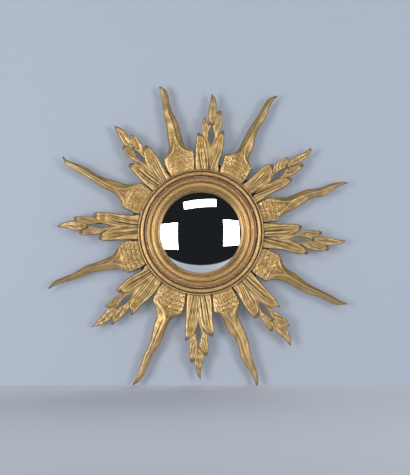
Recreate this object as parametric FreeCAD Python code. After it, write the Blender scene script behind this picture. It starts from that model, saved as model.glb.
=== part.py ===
import FreeCAD
import Part

import math
import os

# A carved and gilded sunburst frame round a convex mirror, in millimetres.
# Row frame: +X right, +Z up, the mirror faces -Y, and the wall is the plane Y = 0.
# A depth is a distance from the wall towards the viewer. A bearing is clockwise from the top.
# A ray is drawn upright: v runs to the right and u outwards from the mirror's axis.

# ---- driving dimensions ----
SIGHT_R = 89.0
MOULDING_R = 132.0
BOARD_R = 148.0
BOARD_THICK = 22.0
BOARD_CHAMFER = 2.0
RECESS_DEPTH = 6.0
RECESS_R = 141.0
REBATE_R = 98.0
SEAT_R = 105.5
SEAT_DEPTH = 32.0
DOME_R = 240.0
GLASS_R = 96.5
GLASS_THICK = 3.0
LIP_DEPTH = 40.0
PACKING_R = (90.0, 97.3)
COVER_R = 107.5
COVER_REBATE_R = 108.0
COVER_THICK = 3.0
RAY_GAP = 0.8
RUN_CLEARANCE = 0.05

# ---- the mouldings' profile, as (radius, depth) points from the sight edge outwards ----
SIGHT_EDGE_DEPTH = 43.4
FILLET = ((91.5, 45.0), (93.5, 47.0), (94.5, 46.0), (94.5, 49.0))
TORUS = ((94.5, 49.0), (99.3, 55.5), (104.0, 48.5))
OVOLO = ((104.0, 47.5), (109.0, 52.0), (115.5, 46.0))
GROOVE = ((116.3, 46.3), (117.5, 42.0), (119.0, 42.5))
BEAD = ((119.0, 42.5), (123.0, 47.3), (127.0, 43.0))
RIM = ((128.5, 39.5), (130.0, 41.5))
RIM_EDGE_DEPTH = 40.5

# ---- fasteners ----
RAY_SCREW = {"shank_r": 1.75, "head_r": 3.5, "head": RECESS_DEPTH, "tip": 30.0}
RAY_SCREW_RADII = (118.0, 138.0)
MOULDING_SCREW = {"shank_r": 1.75, "head_r": 3.3, "head": RECESS_DEPTH + COVER_THICK, "tip": 40.0}
MOULDING_SCREW_RADIUS = 101.7
MOULDING_SCREW_COUNT = 8
CONE_LENGTH = 2.5
OVERLAP = 1.0

# ---- turn buttons ----
BUTTON_BEARINGS = (45.0, 135.0, 225.0, 315.0)
BUTTON_RADIUS = 119.0
BUTTON_HALF_LENGTH = 15.0
BUTTON_HALF_WIDTH = 5.0
BUTTON_DEPTHS = (3.9, 5.9)
BUTTON_SHANK_R = 1.55
PAN_HEAD = {"r": 3.2, "thick": 1.6, "rounding": 1.0}
HARDWARE_SCREW_TIP = 18.0

# ---- hanger ----
STRAP_THICK = 1.1
STRAP_HALF_WIDTH = 18.0
STRAP_Z = (109.5, 118.5)
STRAP_CORNER_R = 3.0
STRAP_SCREW_X = 14.0
STRAP_SCREW_R = 1.5
EYE_Z = 120.0
EYE_HALF_LENGTH = 4.5
WIRE_R = 1.2
D_HALF_WIDTH = 9.0
D_CORNER_R = 3.0
D_SIDE_TOP = 6.0
RING_LEAN = 4.0

# ---- ray heights above the board's face ----
FLAME_BASE_H = (10.0, 15.0)
FLAME_NECK_H = (8.0, 14.0)
FLAME_TIP_H = (3.0, 5.0)
FLAME_BASE_U = 160.0
FLAME_NECK_U = 192.0
LEAF_LOBE_H = {"root": 15.0, "tip": 12.0, "fall": 0.42}
LEAF_SMALL_H = {"root": 11.0, "tip": 9.0, "fall": 0.40}
LEAF_END_H = {"root": 10.0, "tip": 4.5, "fall": 0.40}
EYE_FRAME_H = 9.0

# ---- leaf rays ----
LOBE_LAP = 3.0
EYE_FRAME_WIDTH = 6.0
EYE_FRAME_REACH = (50.0, 18.0)
EYE_WIDEST = 0.42
ROOT_START = 100.0
ROOF_REACH = 80.0

# Bearings of the sixteen joints between neighbouring rays, clockwise from the one before leaf_n.
JOINTS = (355.0, 16.5, 40.6, 62.4, 81.4, 104.0, 127.8, 150.2,
          170.5, 192.7, 217.8, 239.4, 263.3, 286.2, 310.6, 331.6)

# Each flame ray: its bearing, then stations (u, left edge, ridge, right edge) from base to tip.
FLAMES = {
    "nne": (27, ((150, -26, 2, 34), (168, -29, 2, 36), (176, -22, 2, 27), (184, -12.5, 2, 20),
                 (192, -9, 2, 17.5), (212, -9, 2, 17), (230, -9, 2, 12), (250, -8, 2.5, 9.5),
                 (275, -5, 3, 12), (300, -4, 3.5, 9.5), (320, 0, 6, 10), (331, 10, 12, 14))),
    "ene": (71, ((145, -22, 3, 26), (160, -23, 3, 30), (170, -19, 3, 23.5), (180, -16, 3, 20),
                 (192, -12, 1, 18), (208, -11.5, -1, 16.5), (222, -12.5, -3, 12.5), (240, -13, -4, 8),
                 (252, -11, -3, 7.5), (270, -7.5, -1, 11.5), (290, -8, -3, 7), (312, -5.5, -2, 2.5),
                 (327, -0.5, 0.5, 2))),
    "ese": (116, ((150, -30, 0, 31), (168, -31, 0, 32), (178, -24, 0, 23), (186, -16, 0, 19.5),
                  (194, -12, 0.5, 17), (215, -9.5, 2.5, 16), (235, -5.5, 4.5, 17.5), (255, -2, 5, 17.5),
                  (280, -2, 4, 13.5), (305, -1.5, 5, 13), (325, 0, 5, 11.5), (341, -1, 0.5, 2))),
    "sse": (160, ((150, -26, 0, 28), (165, -27, 0, 31.5), (174, -22.5, 0, 23), (182, -17.5, 0, 19),
                  (192, -14, -0.5, 18), (212, -14.5, -1.5, 16.5), (222, -15.5, -2.5, 14.5),
                  (230, -16.5, -3, 9.5), (250, -15.5, -4, 8), (272, -12, -2, 9.5), (290, -11, -4, 8),
                  (312, -11, -5, 3), (330, -8.5, -4, 0.5), (342, -2.5, -1, 0.5))),
    "ssw": (204, ((150, -31, -9, 35), (172, -34, -9, 34.5), (180, -25.5, -9, 25.5), (188, -19, -10, 19),
                  (197, -16.5, -9, 13), (212, -15.5, -7, 11.5), (235, -16.5, -6, 7), (252, -16.5, -6, 4.5),
                  (270, -13, -5.5, 4), (282, -12, -5, 5), (300, -13.5, -5, 3), (325, -12.5, -6, 0.5),
                  (340, -8, -4, 0), (350, -1.5, 0, 1.5))),
    "wsw": (250, ((150, -27, 5, 37), (170, -28, 5, 36), (178, -22, 5, 28), (186, -15, 5, 21.5),
                  (196, -10, 5, 18), (210, -7.5, 6, 17), (230, -3, 8, 16), (250, 0, 9, 17.5),
                  (265, -1.5, 8, 14.5), (285, -2, 6, 11), (305, 0, 5, 10.5), (328, 0, 4, 8),
                  (341, -2.5, -1, 0.5))),
    "wnw": (297, ((145, -27, 0, 34), (158, -27.5, 0, 36), (170, -28, 0, 29), (178, -21, 0, 23),
                  (187, -15, 0, 19), (197, -10.5, 0.5, 17), (215, -9, 1, 14.5), (235, -9, 2, 11),
                  (255, -7, 2.5, 10), (278, -4.5, 5, 12.5), (300, -4, 5.5, 10.5), (320, -1, 5, 8.5),
                  (333, 9, 10.5, 12))),
    "nnw": (344, ((150, -33, 0, 30), (168, -34, 0, 33), (177, -24.5, 0, 23.5), (186, -17.5, 0.5, 18),
                  (196, -14, 1.5, 17), (212, -12, 3, 17), (230, -8.5, 4, 17.5), (243, -7, 4, 16.5),
                  (262, -6.5, 3, 12.5), (280, -4, 4, 12), (298, -1, 6, 14), (311, 0, 6, 12),
                  (322, 0, 1.5, 3))),
}

# Each leaf ray: its bearing, its pierced eye (v of the centre, u of both ends, half width), and its
# lobes. A lobe is two edges of (v, u) points: one from its root to its end, one from there back.
LEAVES = {
    "n": {
        "bearing": 3, "eye": (11, 186, 230, 6.5),
        "big_left": (((-20, 150), (-20.5, 175), (-21, 192), (-18, 207)),
                     ((-8, 204), (0, 195), (4, 180), (6.5, 162))),
        "big_right": (((30, 145), (33, 160), (37, 175), (39, 200), (38, 215)),
                      ((30, 212), (24, 203), (19, 190), (13, 165))),
        "small_left": (((0, 186), (-7, 206), (-10, 222), (-9.5, 234), (-5, 243)),
                       ((-3, 242), (3, 229), (6.5, 218))),
        "small_right": (((22, 190), (27, 212), (31, 224), (32.5, 238), (31, 256)),
                        ((20, 254), (16, 240), (14, 228))),
        "end": (((8.5, 230), (4, 238), (2, 250), (4, 266), (5.5, 280), (7.5, 294)),
                ((9, 294), (15, 287), (18.5, 276), (20.5, 262), (20, 250), (16, 238), (12.5, 230))),
    },
    "ne": {
        "bearing": 50, "eye": (11.5, 183, 228, 6),
        "big_left": (((-20, 142), (-22, 165), (-22, 190), (-20, 200), (-15, 206)),
                     ((-6, 202), (0, 197), (6, 189), (13, 175))),
        "big_right": (((31, 150), (33, 165), (38, 188), (41, 206), (39, 217)),
                      ((29, 214), (22, 206), (16, 193), (12, 178))),
        "small_left": (((4, 187), (-7, 205), (-9, 214), (-9, 225), (-8, 235), (-4, 243)),
                       ((-3, 243), (4, 239), (7.5, 226))),
        "small_right": (((22, 200), (30, 218), (32, 235), (33, 247), (31, 256)),
                        ((24, 253), (19, 243), (15, 226))),
        "end": (((8, 228), (4, 240), (4, 250), (7, 265), (10.5, 275), (11, 285), (12.5, 293)),
                ((14, 293), (20, 287), (22, 276), (22, 262), (20, 250), (15, 229))),
    },
    "e": {
        "bearing": 93, "eye": (3.5, 189, 237, 6),
        "big_left": (((-27, 145), (-27, 170), (-28, 190), (-28, 201), (-26, 209)),
                     ((-16, 207), (-10, 198), (-5, 190), (-1, 180))),
        "big_right": (((27, 160), (28, 175), (33, 200), (34, 215), (34, 224)),
                      ((25, 224), (17, 214), (12, 206), (5, 184))),
        "small_left": (((-8, 196), (-15, 215), (-16, 230), (-17, 244), (-16, 251)),
                       ((-8, 251), (-4, 243), (0, 231))),
        "small_right": (((14, 212), (23, 228), (25, 242), (26, 256), (24, 268)),
                        ((15, 266), (9, 258), (6.5, 246), (6, 234))),
        "end": (((0, 236), (-4, 246), (-6, 260), (-4.5, 271), (-1, 283), (0, 295), (0.5, 305)),
                ((2, 305), (7, 299), (11, 288), (14, 271), (12, 255), (7, 237))),
    },
    "se": {
        "bearing": 140, "eye": (2, 190, 238, 6),
        "big_left": (((-28, 148), (-29, 175), (-30, 195), (-30, 213), (-27, 226)),
                     ((-25, 225), (-19, 221), (-11, 215), (-7, 205), (-1, 184))),
        "big_right": (((24, 150), (28, 167), (30, 180), (31, 198), (29, 210)),
                      ((15, 208), (10, 201), (6, 193), (2, 181))),
        "small_left": (((-9, 212), (-14, 230), (-18, 243), (-19.5, 256), (-17, 270)),
                       ((-15, 270), (-8, 267), (-2, 257), (0, 236))),
        "small_right": (((11, 201), (18, 215), (21, 232), (22, 243), (21, 252)),
                        ((15, 252), (10, 242), (6, 228))),
        "end": (((-1, 238), (-5, 255), (-7, 270), (-6, 281), (-2, 291), (7, 303)),
                ((8.5, 303), (9.5, 293), (9.5, 283), (12, 271), (14, 256), (11, 238))),
    },
    "s": {
        "bearing": 181, "eye": (1, 191, 242, 5.5),
        "big_left": (((-26.5, 150), (-28, 178), (-31, 197), (-32, 206), (-30, 215)),
                     ((-20, 214), (-13, 208), (-7, 200), (-1, 183))),
        "big_right": (((28, 150), (28.5, 180), (29.5, 205), (29, 226)),
                      ((20, 222), (12, 217), (8.5, 209), (2, 185))),
        "small_left": (((-9, 203), (-17, 215), (-19, 230), (-20.5, 245), (-19, 255)),
                       ((-11, 254), (-5, 246), (-1, 234))),
        "small_right": (((8.5, 208), (18, 223), (20, 240), (19.5, 258), (18, 270)),
                        ((9, 268), (4, 258), (2.5, 239))),
        "end": (((-1, 240), (-9, 252), (-11, 262), (-9.5, 272), (-6, 288), (-5, 299), (-5.5, 307)),
                ((-4, 307), (1, 300), (5, 290), (8, 278), (9, 268), (3, 242))),
    },
    "sw": {
        "bearing": 228, "eye": (0, 193, 238, 5.5),
        "big_left": (((-27, 145), (-31, 168), (-31, 198), (-33, 214), (-32, 222)),
                     ((-20, 217), (-13, 214), (-8, 206), (-2, 186))),
        "big_right": (((24, 142), (28, 165), (30.5, 180), (31, 200), (29, 212)),
                      ((13, 205), (8, 198), (2, 182))),
        "small_left": (((-9, 206), (-18, 220), (-20.5, 235), (-21, 250), (-20, 267)),
                       ((-11, 261), (-5, 252), (-1, 234))),
        "small_right": (((10, 200), (17, 216), (20, 230), (20, 243), (19, 252)),
                        ((17, 252), (12, 250), (8.5, 238), (4, 224))),
        "end": (((-1, 237), (-7, 255), (-9, 267), (-7, 279), (-3.5, 289), (6, 303)),
                ((7.5, 303), (6, 297), (7, 288), (9, 272), (11, 255), (8, 234))),
    },
    "w": {
        "bearing": 272, "eye": (7, 191, 239, 5.5),
        "big_left": (((-20, 145), (-22, 172), (-24, 190), (-25, 204), (-23, 211)),
                     ((-10, 209), (-3, 200), (2, 192), (7, 180))),
        "big_right": (((31, 148), (33, 175), (35, 198), (36, 213), (34, 224)),
                      ((20, 221), (14, 212), (10, 200), (7, 182))),
        "small_left": (((-1, 198), (-10, 212), (-12, 230), (-14.5, 244), (-13, 252)),
                       ((-4, 251), (0, 241), (4, 228))),
        "small_right": (((12, 206), (23, 224), (26, 242), (25.5, 256), (24, 266)),
                        ((14, 262), (11, 252), (9, 236))),
        "end": (((4, 237), (-3, 249), (-6, 261), (-4, 270), (-1, 280), (0.5, 291), (1.5, 302)),
                ((3, 302), (8, 296), (12, 285), (15, 273), (14, 260), (9.5, 239))),
    },
    "nw": {
        "bearing": 320, "eye": (4, 187, 228, 5),
        "big_left": (((-23, 142), (-26, 160), (-27, 182), (-27.5, 196), (-27, 203)),
                     ((-15, 203), (-7, 194), (-2, 184), (0, 168))),
        "big_right": (((27, 145), (31, 172), (33.5, 188), (34, 203), (31, 212)),
                      ((20, 211), (13, 203), (7.5, 192), (1, 170))),
        "small_left": (((-5, 192), (-12, 208), (-14, 220), (-15, 231), (-13, 241)),
                       ((-2, 240), (0.5, 232), (2, 222))),
        "small_right": (((13, 201), (22, 214), (25, 227), (25, 240), (21, 252)),
                        ((19, 252), (15, 250), (9.5, 240), (7, 222))),
        "end": (((3, 227), (-3.5, 240), (-5, 251), (-3, 261), (-1, 271), (1, 281), (4.5, 290)),
                ((6, 290), (12, 280), (15, 268), (14.5, 256), (13, 246), (6, 228))),
    },
}

AXIS_Y = FreeCAD.Vector(0, 1, 0)
ORIGIN = FreeCAD.Vector(0, 0, 0)


def place(v, u, depth):
    """A point of an upright ray: v to the right, u outwards, depth from the wall."""
    return FreeCAD.Vector(v, -depth, u)


def turned(shape, bearing):
    """The shape swung clockwise round the mirror's axis, from the top to its bearing."""
    swung = shape.copy()
    swung.rotate(ORIGIN, AXIS_Y, bearing)
    return swung


def bar(radius, v, u, low, high):
    """A round bar along the depth axis at (v, u), from one depth to another."""
    return Part.makeCylinder(radius, high - low, place(v, u, low), FreeCAD.Vector(0, -1, 0))


def spun(edges):
    """A closed profile of edges in the (radius, depth) half plane, spun round the mirror's axis."""
    return Part.Face(Part.Wire(edges)).revolve(ORIGIN, AXIS_Y, 360)


def line(a, b):
    """A straight edge of a profile between two (radius, depth) points."""
    return Part.makeLine(place(a[0], 0, a[1]), place(b[0], 0, b[1]))


def lines(corners):
    return [line(a, b) for a, b in zip(corners, corners[1:])]


def arc(a, middle, b):
    return Part.Arc(place(a[0], 0, a[1]), place(middle[0], 0, middle[1]), place(b[0], 0, b[1])).toShape()


def save(shape, node):
    shape.exportStep(f"parts/{node}.step")
    volume = shape.Volume / 1000
    print(f"{node:24s} solids {len(shape.Solids):2d} valid {shape.isValid()} volume {volume:8.2f} cm3")


# ---- the ring of mouldings ----

def moulding_ring():
    start = (REBATE_R, BOARD_THICK)
    lip = (start, (REBATE_R, LIP_DEPTH), (SIGHT_R, LIP_DEPTH), (SIGHT_R, SIGHT_EDGE_DEPTH)) + FILLET
    outer = (BEAD[-1],) + RIM + ((MOULDING_R, RIM_EDGE_DEPTH), (MOULDING_R, SEAT_DEPTH),
                                 (SEAT_R, SEAT_DEPTH), (SEAT_R, BOARD_THICK), start)
    edges = lines(lip)
    edges += [arc(*TORUS), line(TORUS[-1], OVOLO[0]), arc(*OVOLO)]
    edges += lines((OVOLO[-1],) + GROOVE)
    edges += [arc(*BEAD)] + lines(outer)
    return spun(edges).cut(Part.makeCompound(moulding_screws()))


# ---- the glass and what holds it ----

def sphere_depth(radius, centre, r):
    """Depth of a sphere round the mirror's axis, at distance r from that axis."""
    return centre + math.sqrt(radius**2 - r**2)


DOME_CENTRE = LIP_DEPTH - math.sqrt(DOME_R**2 - SIGHT_R**2)
BACK_R = DOME_R - GLASS_THICK


def convex_glass():
    front = [(r, sphere_depth(DOME_R, DOME_CENTRE, r)) for r in (0.0, GLASS_R / 2, GLASS_R)]
    back = [(r, sphere_depth(BACK_R, DOME_CENTRE, r)) for r in (GLASS_R, GLASS_R / 2, 0.0)]
    return spun([arc(*front), line(front[-1], back[0]), arc(*back), line(back[-1], front[0])])


def glass_packing():
    inner, outer = PACKING_R
    low = RECESS_DEPTH + COVER_THICK
    corners = [(inner, low), (outer, low), (outer, sphere_depth(BACK_R, DOME_CENTRE, outer)),
               (inner, sphere_depth(BACK_R, DOME_CENTRE, inner))]
    return spun(lines(corners + corners[:1]))


def back_cover():
    return bar(COVER_R, 0, 0, RECESS_DEPTH, RECESS_DEPTH + COVER_THICK)


# ---- the back board ----

def back_board():
    rebate = RECESS_DEPTH + COVER_THICK
    corners = [(REBATE_R, BOARD_THICK), (REBATE_R, rebate), (COVER_REBATE_R, rebate),
               (COVER_REBATE_R, RECESS_DEPTH), (RECESS_R, RECESS_DEPTH), (RECESS_R, 0),
               (BOARD_R - BOARD_CHAMFER, 0), (BOARD_R, BOARD_CHAMFER), (BOARD_R, BOARD_THICK)]
    board = spun(lines(corners + corners[:1]))
    holes = ray_screws() + moulding_screws() + button_screws() + hanger_screws()
    return board.cut(Part.makeCompound(holes))


# ---- screws ----

def sunk_screw(size, bearing, radius):
    """A countersunk screw whose flat head lies at the depth size["head"] and points at the viewer."""
    head = Part.makeCone(size["head_r"], size["shank_r"], CONE_LENGTH, place(0, radius, size["head"]),
                         FreeCAD.Vector(0, -1, 0))
    shank = bar(size["shank_r"], 0, radius, size["head"], size["tip"])
    return turned(head.fuse(shank).removeSplitter(), bearing)


def pan_screw(shank_r, x, z, head_depth):
    """A screw with a raised head whose underside is at head_depth."""
    head = bar(PAN_HEAD["r"], x, z, head_depth - PAN_HEAD["thick"], head_depth)
    rounded = head.makeFillet(PAN_HEAD["rounding"], [head.Edges[0]])
    return rounded.fuse(bar(shank_r, x, z, head_depth - OVERLAP, HARDWARE_SCREW_TIP)).removeSplitter()


def ray_screws():
    bearings = [ray[0] for ray in FLAMES.values()] + [leaf["bearing"] for leaf in LEAVES.values()]
    return [sunk_screw(RAY_SCREW, b, r) for b in sorted(bearings) for r in RAY_SCREW_RADII]


def moulding_screws():
    step = 360 / MOULDING_SCREW_COUNT
    return [sunk_screw(MOULDING_SCREW, step * (n + 0.5), MOULDING_SCREW_RADIUS)
            for n in range(MOULDING_SCREW_COUNT)]


def button_centre(bearing):
    angle = math.radians(bearing)
    return BUTTON_RADIUS * math.sin(angle), BUTTON_RADIUS * math.cos(angle)


def button_screws():
    head = BUTTON_DEPTHS[0] - RUN_CLEARANCE
    return [pan_screw(BUTTON_SHANK_R, *button_centre(b), head) for b in BUTTON_BEARINGS]


def hanger_screws():
    head = RECESS_DEPTH - STRAP_THICK
    z = (STRAP_Z[0] + STRAP_Z[1]) / 2
    return [pan_screw(STRAP_SCREW_R, x, z, head) for x in (-STRAP_SCREW_X, STRAP_SCREW_X)]


# ---- turn buttons ----

def turn_button(bearing):
    """A flat brass stadium, lying across the joint of cover and board."""
    low, high = BUTTON_DEPTHS
    reach = BUTTON_HALF_LENGTH - BUTTON_HALF_WIDTH
    middle = Part.makeBox(2 * BUTTON_HALF_WIDTH, high - low, 2 * reach,
                          place(-BUTTON_HALF_WIDTH, BUTTON_RADIUS - reach, high))
    ends = [bar(BUTTON_HALF_WIDTH, 0, BUTTON_RADIUS + s * reach, low, high) for s in (-1, 1)]
    plate = middle.fuse(ends).removeSplitter()
    hole = bar(BUTTON_SHANK_R + RUN_CLEARANCE, 0, BUTTON_RADIUS, low - OVERLAP, high + OVERLAP)
    return turned(plate.cut(hole), bearing)


# ---- hanger ----

EYE_OUTER_R = WIRE_R + RUN_CLEARANCE + STRAP_THICK
EYE_DEPTH = RECESS_DEPTH - EYE_OUTER_R
AXIS_X = FreeCAD.Vector(1, 0, 0)


def cross_bar(radius, half_length):
    return Part.makeCylinder(radius, 2 * half_length, place(-half_length, EYE_Z, EYE_DEPTH), AXIS_X)


def hanger_strap():
    """A brass strap with two screw holes, rolled at its top into an eye for the ring."""
    low, high = STRAP_Z
    plate = Part.makeBox(2 * STRAP_HALF_WIDTH, STRAP_THICK, high - low,
                         place(-STRAP_HALF_WIDTH, low, RECESS_DEPTH))
    tab = Part.makeBox(2 * EYE_HALF_LENGTH, STRAP_THICK, EYE_Z - high + OVERLAP,
                       place(-EYE_HALF_LENGTH, high - OVERLAP, RECESS_DEPTH))
    corners = [e for e in plate.Edges if e.Length < STRAP_THICK + RUN_CLEARANCE]
    plate = plate.makeFillet(STRAP_CORNER_R, corners)
    strap = plate.fuse([tab, cross_bar(EYE_OUTER_R, EYE_HALF_LENGTH)]).removeSplitter()
    strap = strap.cut(cross_bar(WIRE_R + RUN_CLEARANCE, EYE_HALF_LENGTH + OVERLAP))
    return strap.cut(Part.makeCompound(hanger_screws()))


def bent_wire(centre, start, angle):
    """A stretch of the ring's wire bent round a centre; both are (x, z) from the eye's axis."""
    at = place(start[0], EYE_Z + start[1], EYE_DEPTH)
    pivot = place(centre[0], EYE_Z + centre[1], EYE_DEPTH)
    radial = at.sub(pivot)
    disc = Part.Face(Part.Wire(Part.makeCircle(WIRE_R, at, radial.cross(AXIS_Y))))
    return disc.revolve(pivot, AXIS_Y, angle)


def hanger_ring():
    """A D-shaped wire ring: a straight bar in the eye, two tight corners and a round top."""
    straight = D_HALF_WIDTH - D_CORNER_R
    runs = [cross_bar(WIRE_R, straight)]
    for side in (-1, 1):
        runs.append(bent_wire((side * straight, D_CORNER_R), (side * straight, 0), -side * 90))
        runs.append(Part.makeCylinder(WIRE_R, D_SIDE_TOP - D_CORNER_R,
                                      place(side * D_HALF_WIDTH, EYE_Z + D_CORNER_R, EYE_DEPTH)))
    runs.append(bent_wire((0, D_SIDE_TOP), (-D_HALF_WIDTH, D_SIDE_TOP), 180))
    ring = runs[0].fuse(runs[1:]).removeSplitter()
    ring.rotate(place(0, EYE_Z, EYE_DEPTH), AXIS_X, RING_LEAN)
    return ring


# ---- rays ----

def joint_edges(bearing):
    """Slopes dv/du of the joints on the ray's left and right, relative to its own bearing."""
    sides = sorted(((j - bearing + 180) % 360 - 180 for j in JOINTS), key=abs)
    left = max(s for s in sides if s < 0)
    right = min(s for s in sides if s > 0)
    return math.tan(math.radians(left)), math.tan(math.radians(right))


def root_edges(bearing, u):
    left, right = joint_edges(bearing)
    return left * u + RAY_GAP / 2, right * u - RAY_GAP / 2


def trimmed(solid, bearing):
    """Cut the ray's root to the seat under the moulding, bore its screws and swing it into place."""
    seat = bar(MOULDING_R + RUN_CLEARANCE, 0, 0, SEAT_DEPTH - RUN_CLEARANCE, 2 * SEAT_DEPTH)
    core = bar(SEAT_R + RUN_CLEARANCE, 0, 0, 0, 2 * SEAT_DEPTH)
    screws = [sunk_screw(RAY_SCREW, 0, r) for r in RAY_SCREW_RADII]
    return turned(solid.cut([seat, core] + screws), bearing)


def flame_heights(u, tip_u):
    """Heights of a flame's edge and ridge: a deep base, a neck, then a long taper to the tip."""
    if u <= FLAME_BASE_U:
        return FLAME_BASE_H
    if u <= FLAME_NECK_U:
        share = (u - FLAME_BASE_U) / (FLAME_NECK_U - FLAME_BASE_U)
        low, high = FLAME_BASE_H, FLAME_NECK_H
    else:
        share = (u - FLAME_NECK_U) / (tip_u - FLAME_NECK_U)
        low, high = FLAME_NECK_H, FLAME_TIP_H
    return tuple(a + share * (b - a) for a, b in zip(low, high))


def flame_ray(bearing, stations):
    """A wavy tapering blade with a ridge, from a wide base that runs in under the moulding."""
    ridge = stations[0][2]
    roots = [(u, ridge, root_edges(bearing, u)) for u in (ROOT_START, MOULDING_R)]
    sections = []
    for u, left, crest, right in [(u, a, crest, b) for u, crest, (a, b) in roots] + list(stations):
        side, top = flame_heights(u, stations[-1][0])
        corners = [(left, 0), (left, side), (crest, top), (right, side), (right, 0), (left, 0)]
        sections.append(Part.makePolygon([place(v, u, BOARD_THICK + h) for v, h in corners]))
    return trimmed(Part.makeLoft(sections, True, True), bearing)


def curve(points):
    """A smooth edge through (v, u) points, on the board's face."""
    through = [place(v, u, BOARD_THICK) for v, u in points]
    if len(points) == 2:
        return Part.makeLine(*through)
    spline = Part.BSplineCurve()
    spline.interpolate(through)
    return spline.toShape()


def outline(stretches):
    """A closed wire of smooth stretches, joined end to end by straight lines."""
    edges = []
    for now, after in zip(stretches, stretches[1:] + stretches[:1]):
        edges.append(curve(now))
        if now[-1] != after[0]:
            edges.append(curve((now[-1], after[0])))
    return Part.Wire(edges)


def pitched(solid, foot, end, height):
    """Slope a prism's top like a roof, whose ridge runs from foot to end."""
    run = math.hypot(end[0] - foot[0], end[1] - foot[1])
    along = ((end[0] - foot[0]) / run, (end[1] - foot[1]) / run)
    sink = (height["root"] - height["tip"]) / run
    cuts = []
    for side in (-1, 1):
        corners = []
        for s, t in ((-ROOF_REACH, -ROOF_REACH), (run + ROOF_REACH, -ROOF_REACH),
                     (run + ROOF_REACH, ROOF_REACH), (-ROOF_REACH, ROOF_REACH)):
            v = foot[0] + along[0] * s + along[1] * t
            u = foot[1] + along[1] * s - along[0] * t
            h = height["root"] - sink * s - side * height["fall"] * t
            corners.append(place(v, u, BOARD_THICK + h))
        face = Part.Face(Part.makePolygon(corners + corners[:1]))
        cuts.append(face.extrude(place(0, 0, ROOF_REACH)))
    return solid.cut(cuts)


def lobe(out_edge, back_edge, foot, height, root=()):
    """One carved lobe: a prism on its outline, with a roofed top."""
    stretches = [out_edge, back_edge] + [(a, b) for a, b in zip(root, root[1:])]
    prism = Part.Face(outline(stretches)).extrude(place(0, 0, 2 * height["root"]))
    tip = [(a + b) / 2 for a, b in zip(out_edge[-1], back_edge[0])]
    return pitched(prism, foot, tip, height)


def eye_hole(eye, margin=0.0, stretch=(0.0, 0.0)):
    """The almond outline of a leaf's pierced eye, or of the frame round it."""
    centre, low, high, half = eye
    foot = (centre, low - stretch[0])
    head = (centre, high + stretch[1])
    widest = low + EYE_WIDEST * (high - low)
    sides = [(foot, (centre + s * (half + margin), widest), head) for s in (-1, 1)]
    return outline([sides[0], sides[1][::-1]])


def leaf_ray(leaf):
    """A pierced leaf: two big lobes, an eye in a slim frame, two small lobes and an end lobe."""
    bearing = leaf["bearing"]
    eye = leaf["eye"]
    roots = [root_edges(bearing, u) for u in (ROOT_START, MOULDING_R)]
    middle = sum(roots[1]) / 2
    pieces = []
    for side, (name, inward) in enumerate((("big_left", 1), ("big_right", -1))):
        out_edge, back_edge = leaf[name]
        start, edge = roots[0][side], roots[1][side]
        inner = middle + inward * LOBE_LAP
        foot = ((edge + middle) / 2, MOULDING_R)
        root = ((inner, MOULDING_R), (inner, ROOT_START), (start, ROOT_START), (edge, MOULDING_R))
        pieces.append(lobe(((edge, MOULDING_R),) + out_edge, back_edge, foot, LEAF_LOBE_H, root))
    for name, height in (("small_left", LEAF_SMALL_H), ("small_right", LEAF_SMALL_H), ("end", LEAF_END_H)):
        out_edge, back_edge = leaf[name]
        foot = [(a + b) / 2 for a, b in zip(out_edge[0], back_edge[-1])]
        pieces.append(lobe(out_edge, back_edge, foot, height))
    frame = eye_hole(eye, margin=EYE_FRAME_WIDTH, stretch=EYE_FRAME_REACH)
    pieces.append(Part.Face(frame).extrude(place(0, 0, EYE_FRAME_H)))
    whole = pieces[0].fuse(pieces[1:]).removeSplitter()
    hole = Part.Face(eye_hole(eye)).extrude(place(0, 0, 2 * BOARD_THICK))
    hole.translate(place(0, 0, -BOARD_THICK))
    return trimmed(whole.cut(hole), bearing)


# ---- every sub-part, one file each ----

os.makedirs("parts", exist_ok=True)
save(moulding_ring(), "moulding_ring")
save(convex_glass(), "convex_glass")
save(glass_packing(), "glass_packing")
save(back_cover(), "back_cover")
save(back_board(), "back_board")
for name, (bearing, stations) in FLAMES.items():
    save(flame_ray(bearing, stations), f"flame_ray_{name}")
for name, leaf in LEAVES.items():
    save(leaf_ray(leaf), f"leaf_ray_{name}")
save(Part.makeCompound(ray_screws()), "ray_screws")
save(Part.makeCompound(moulding_screws()), "moulding_screws")
save(Part.makeCompound(button_screws()), "turn_button_screws")
save(Part.makeCompound(hanger_screws()), "hanger_screws")
for number, bearing in enumerate(BUTTON_BEARINGS, 1):
    save(turn_button(bearing), f"turn_button_{number}")
save(hanger_strap(), "hanger_strap")
save(hanger_ring(), "hanger_ring")
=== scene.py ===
import math

import bmesh
import bpy
import numpy as np
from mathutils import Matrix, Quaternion, Vector


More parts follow.
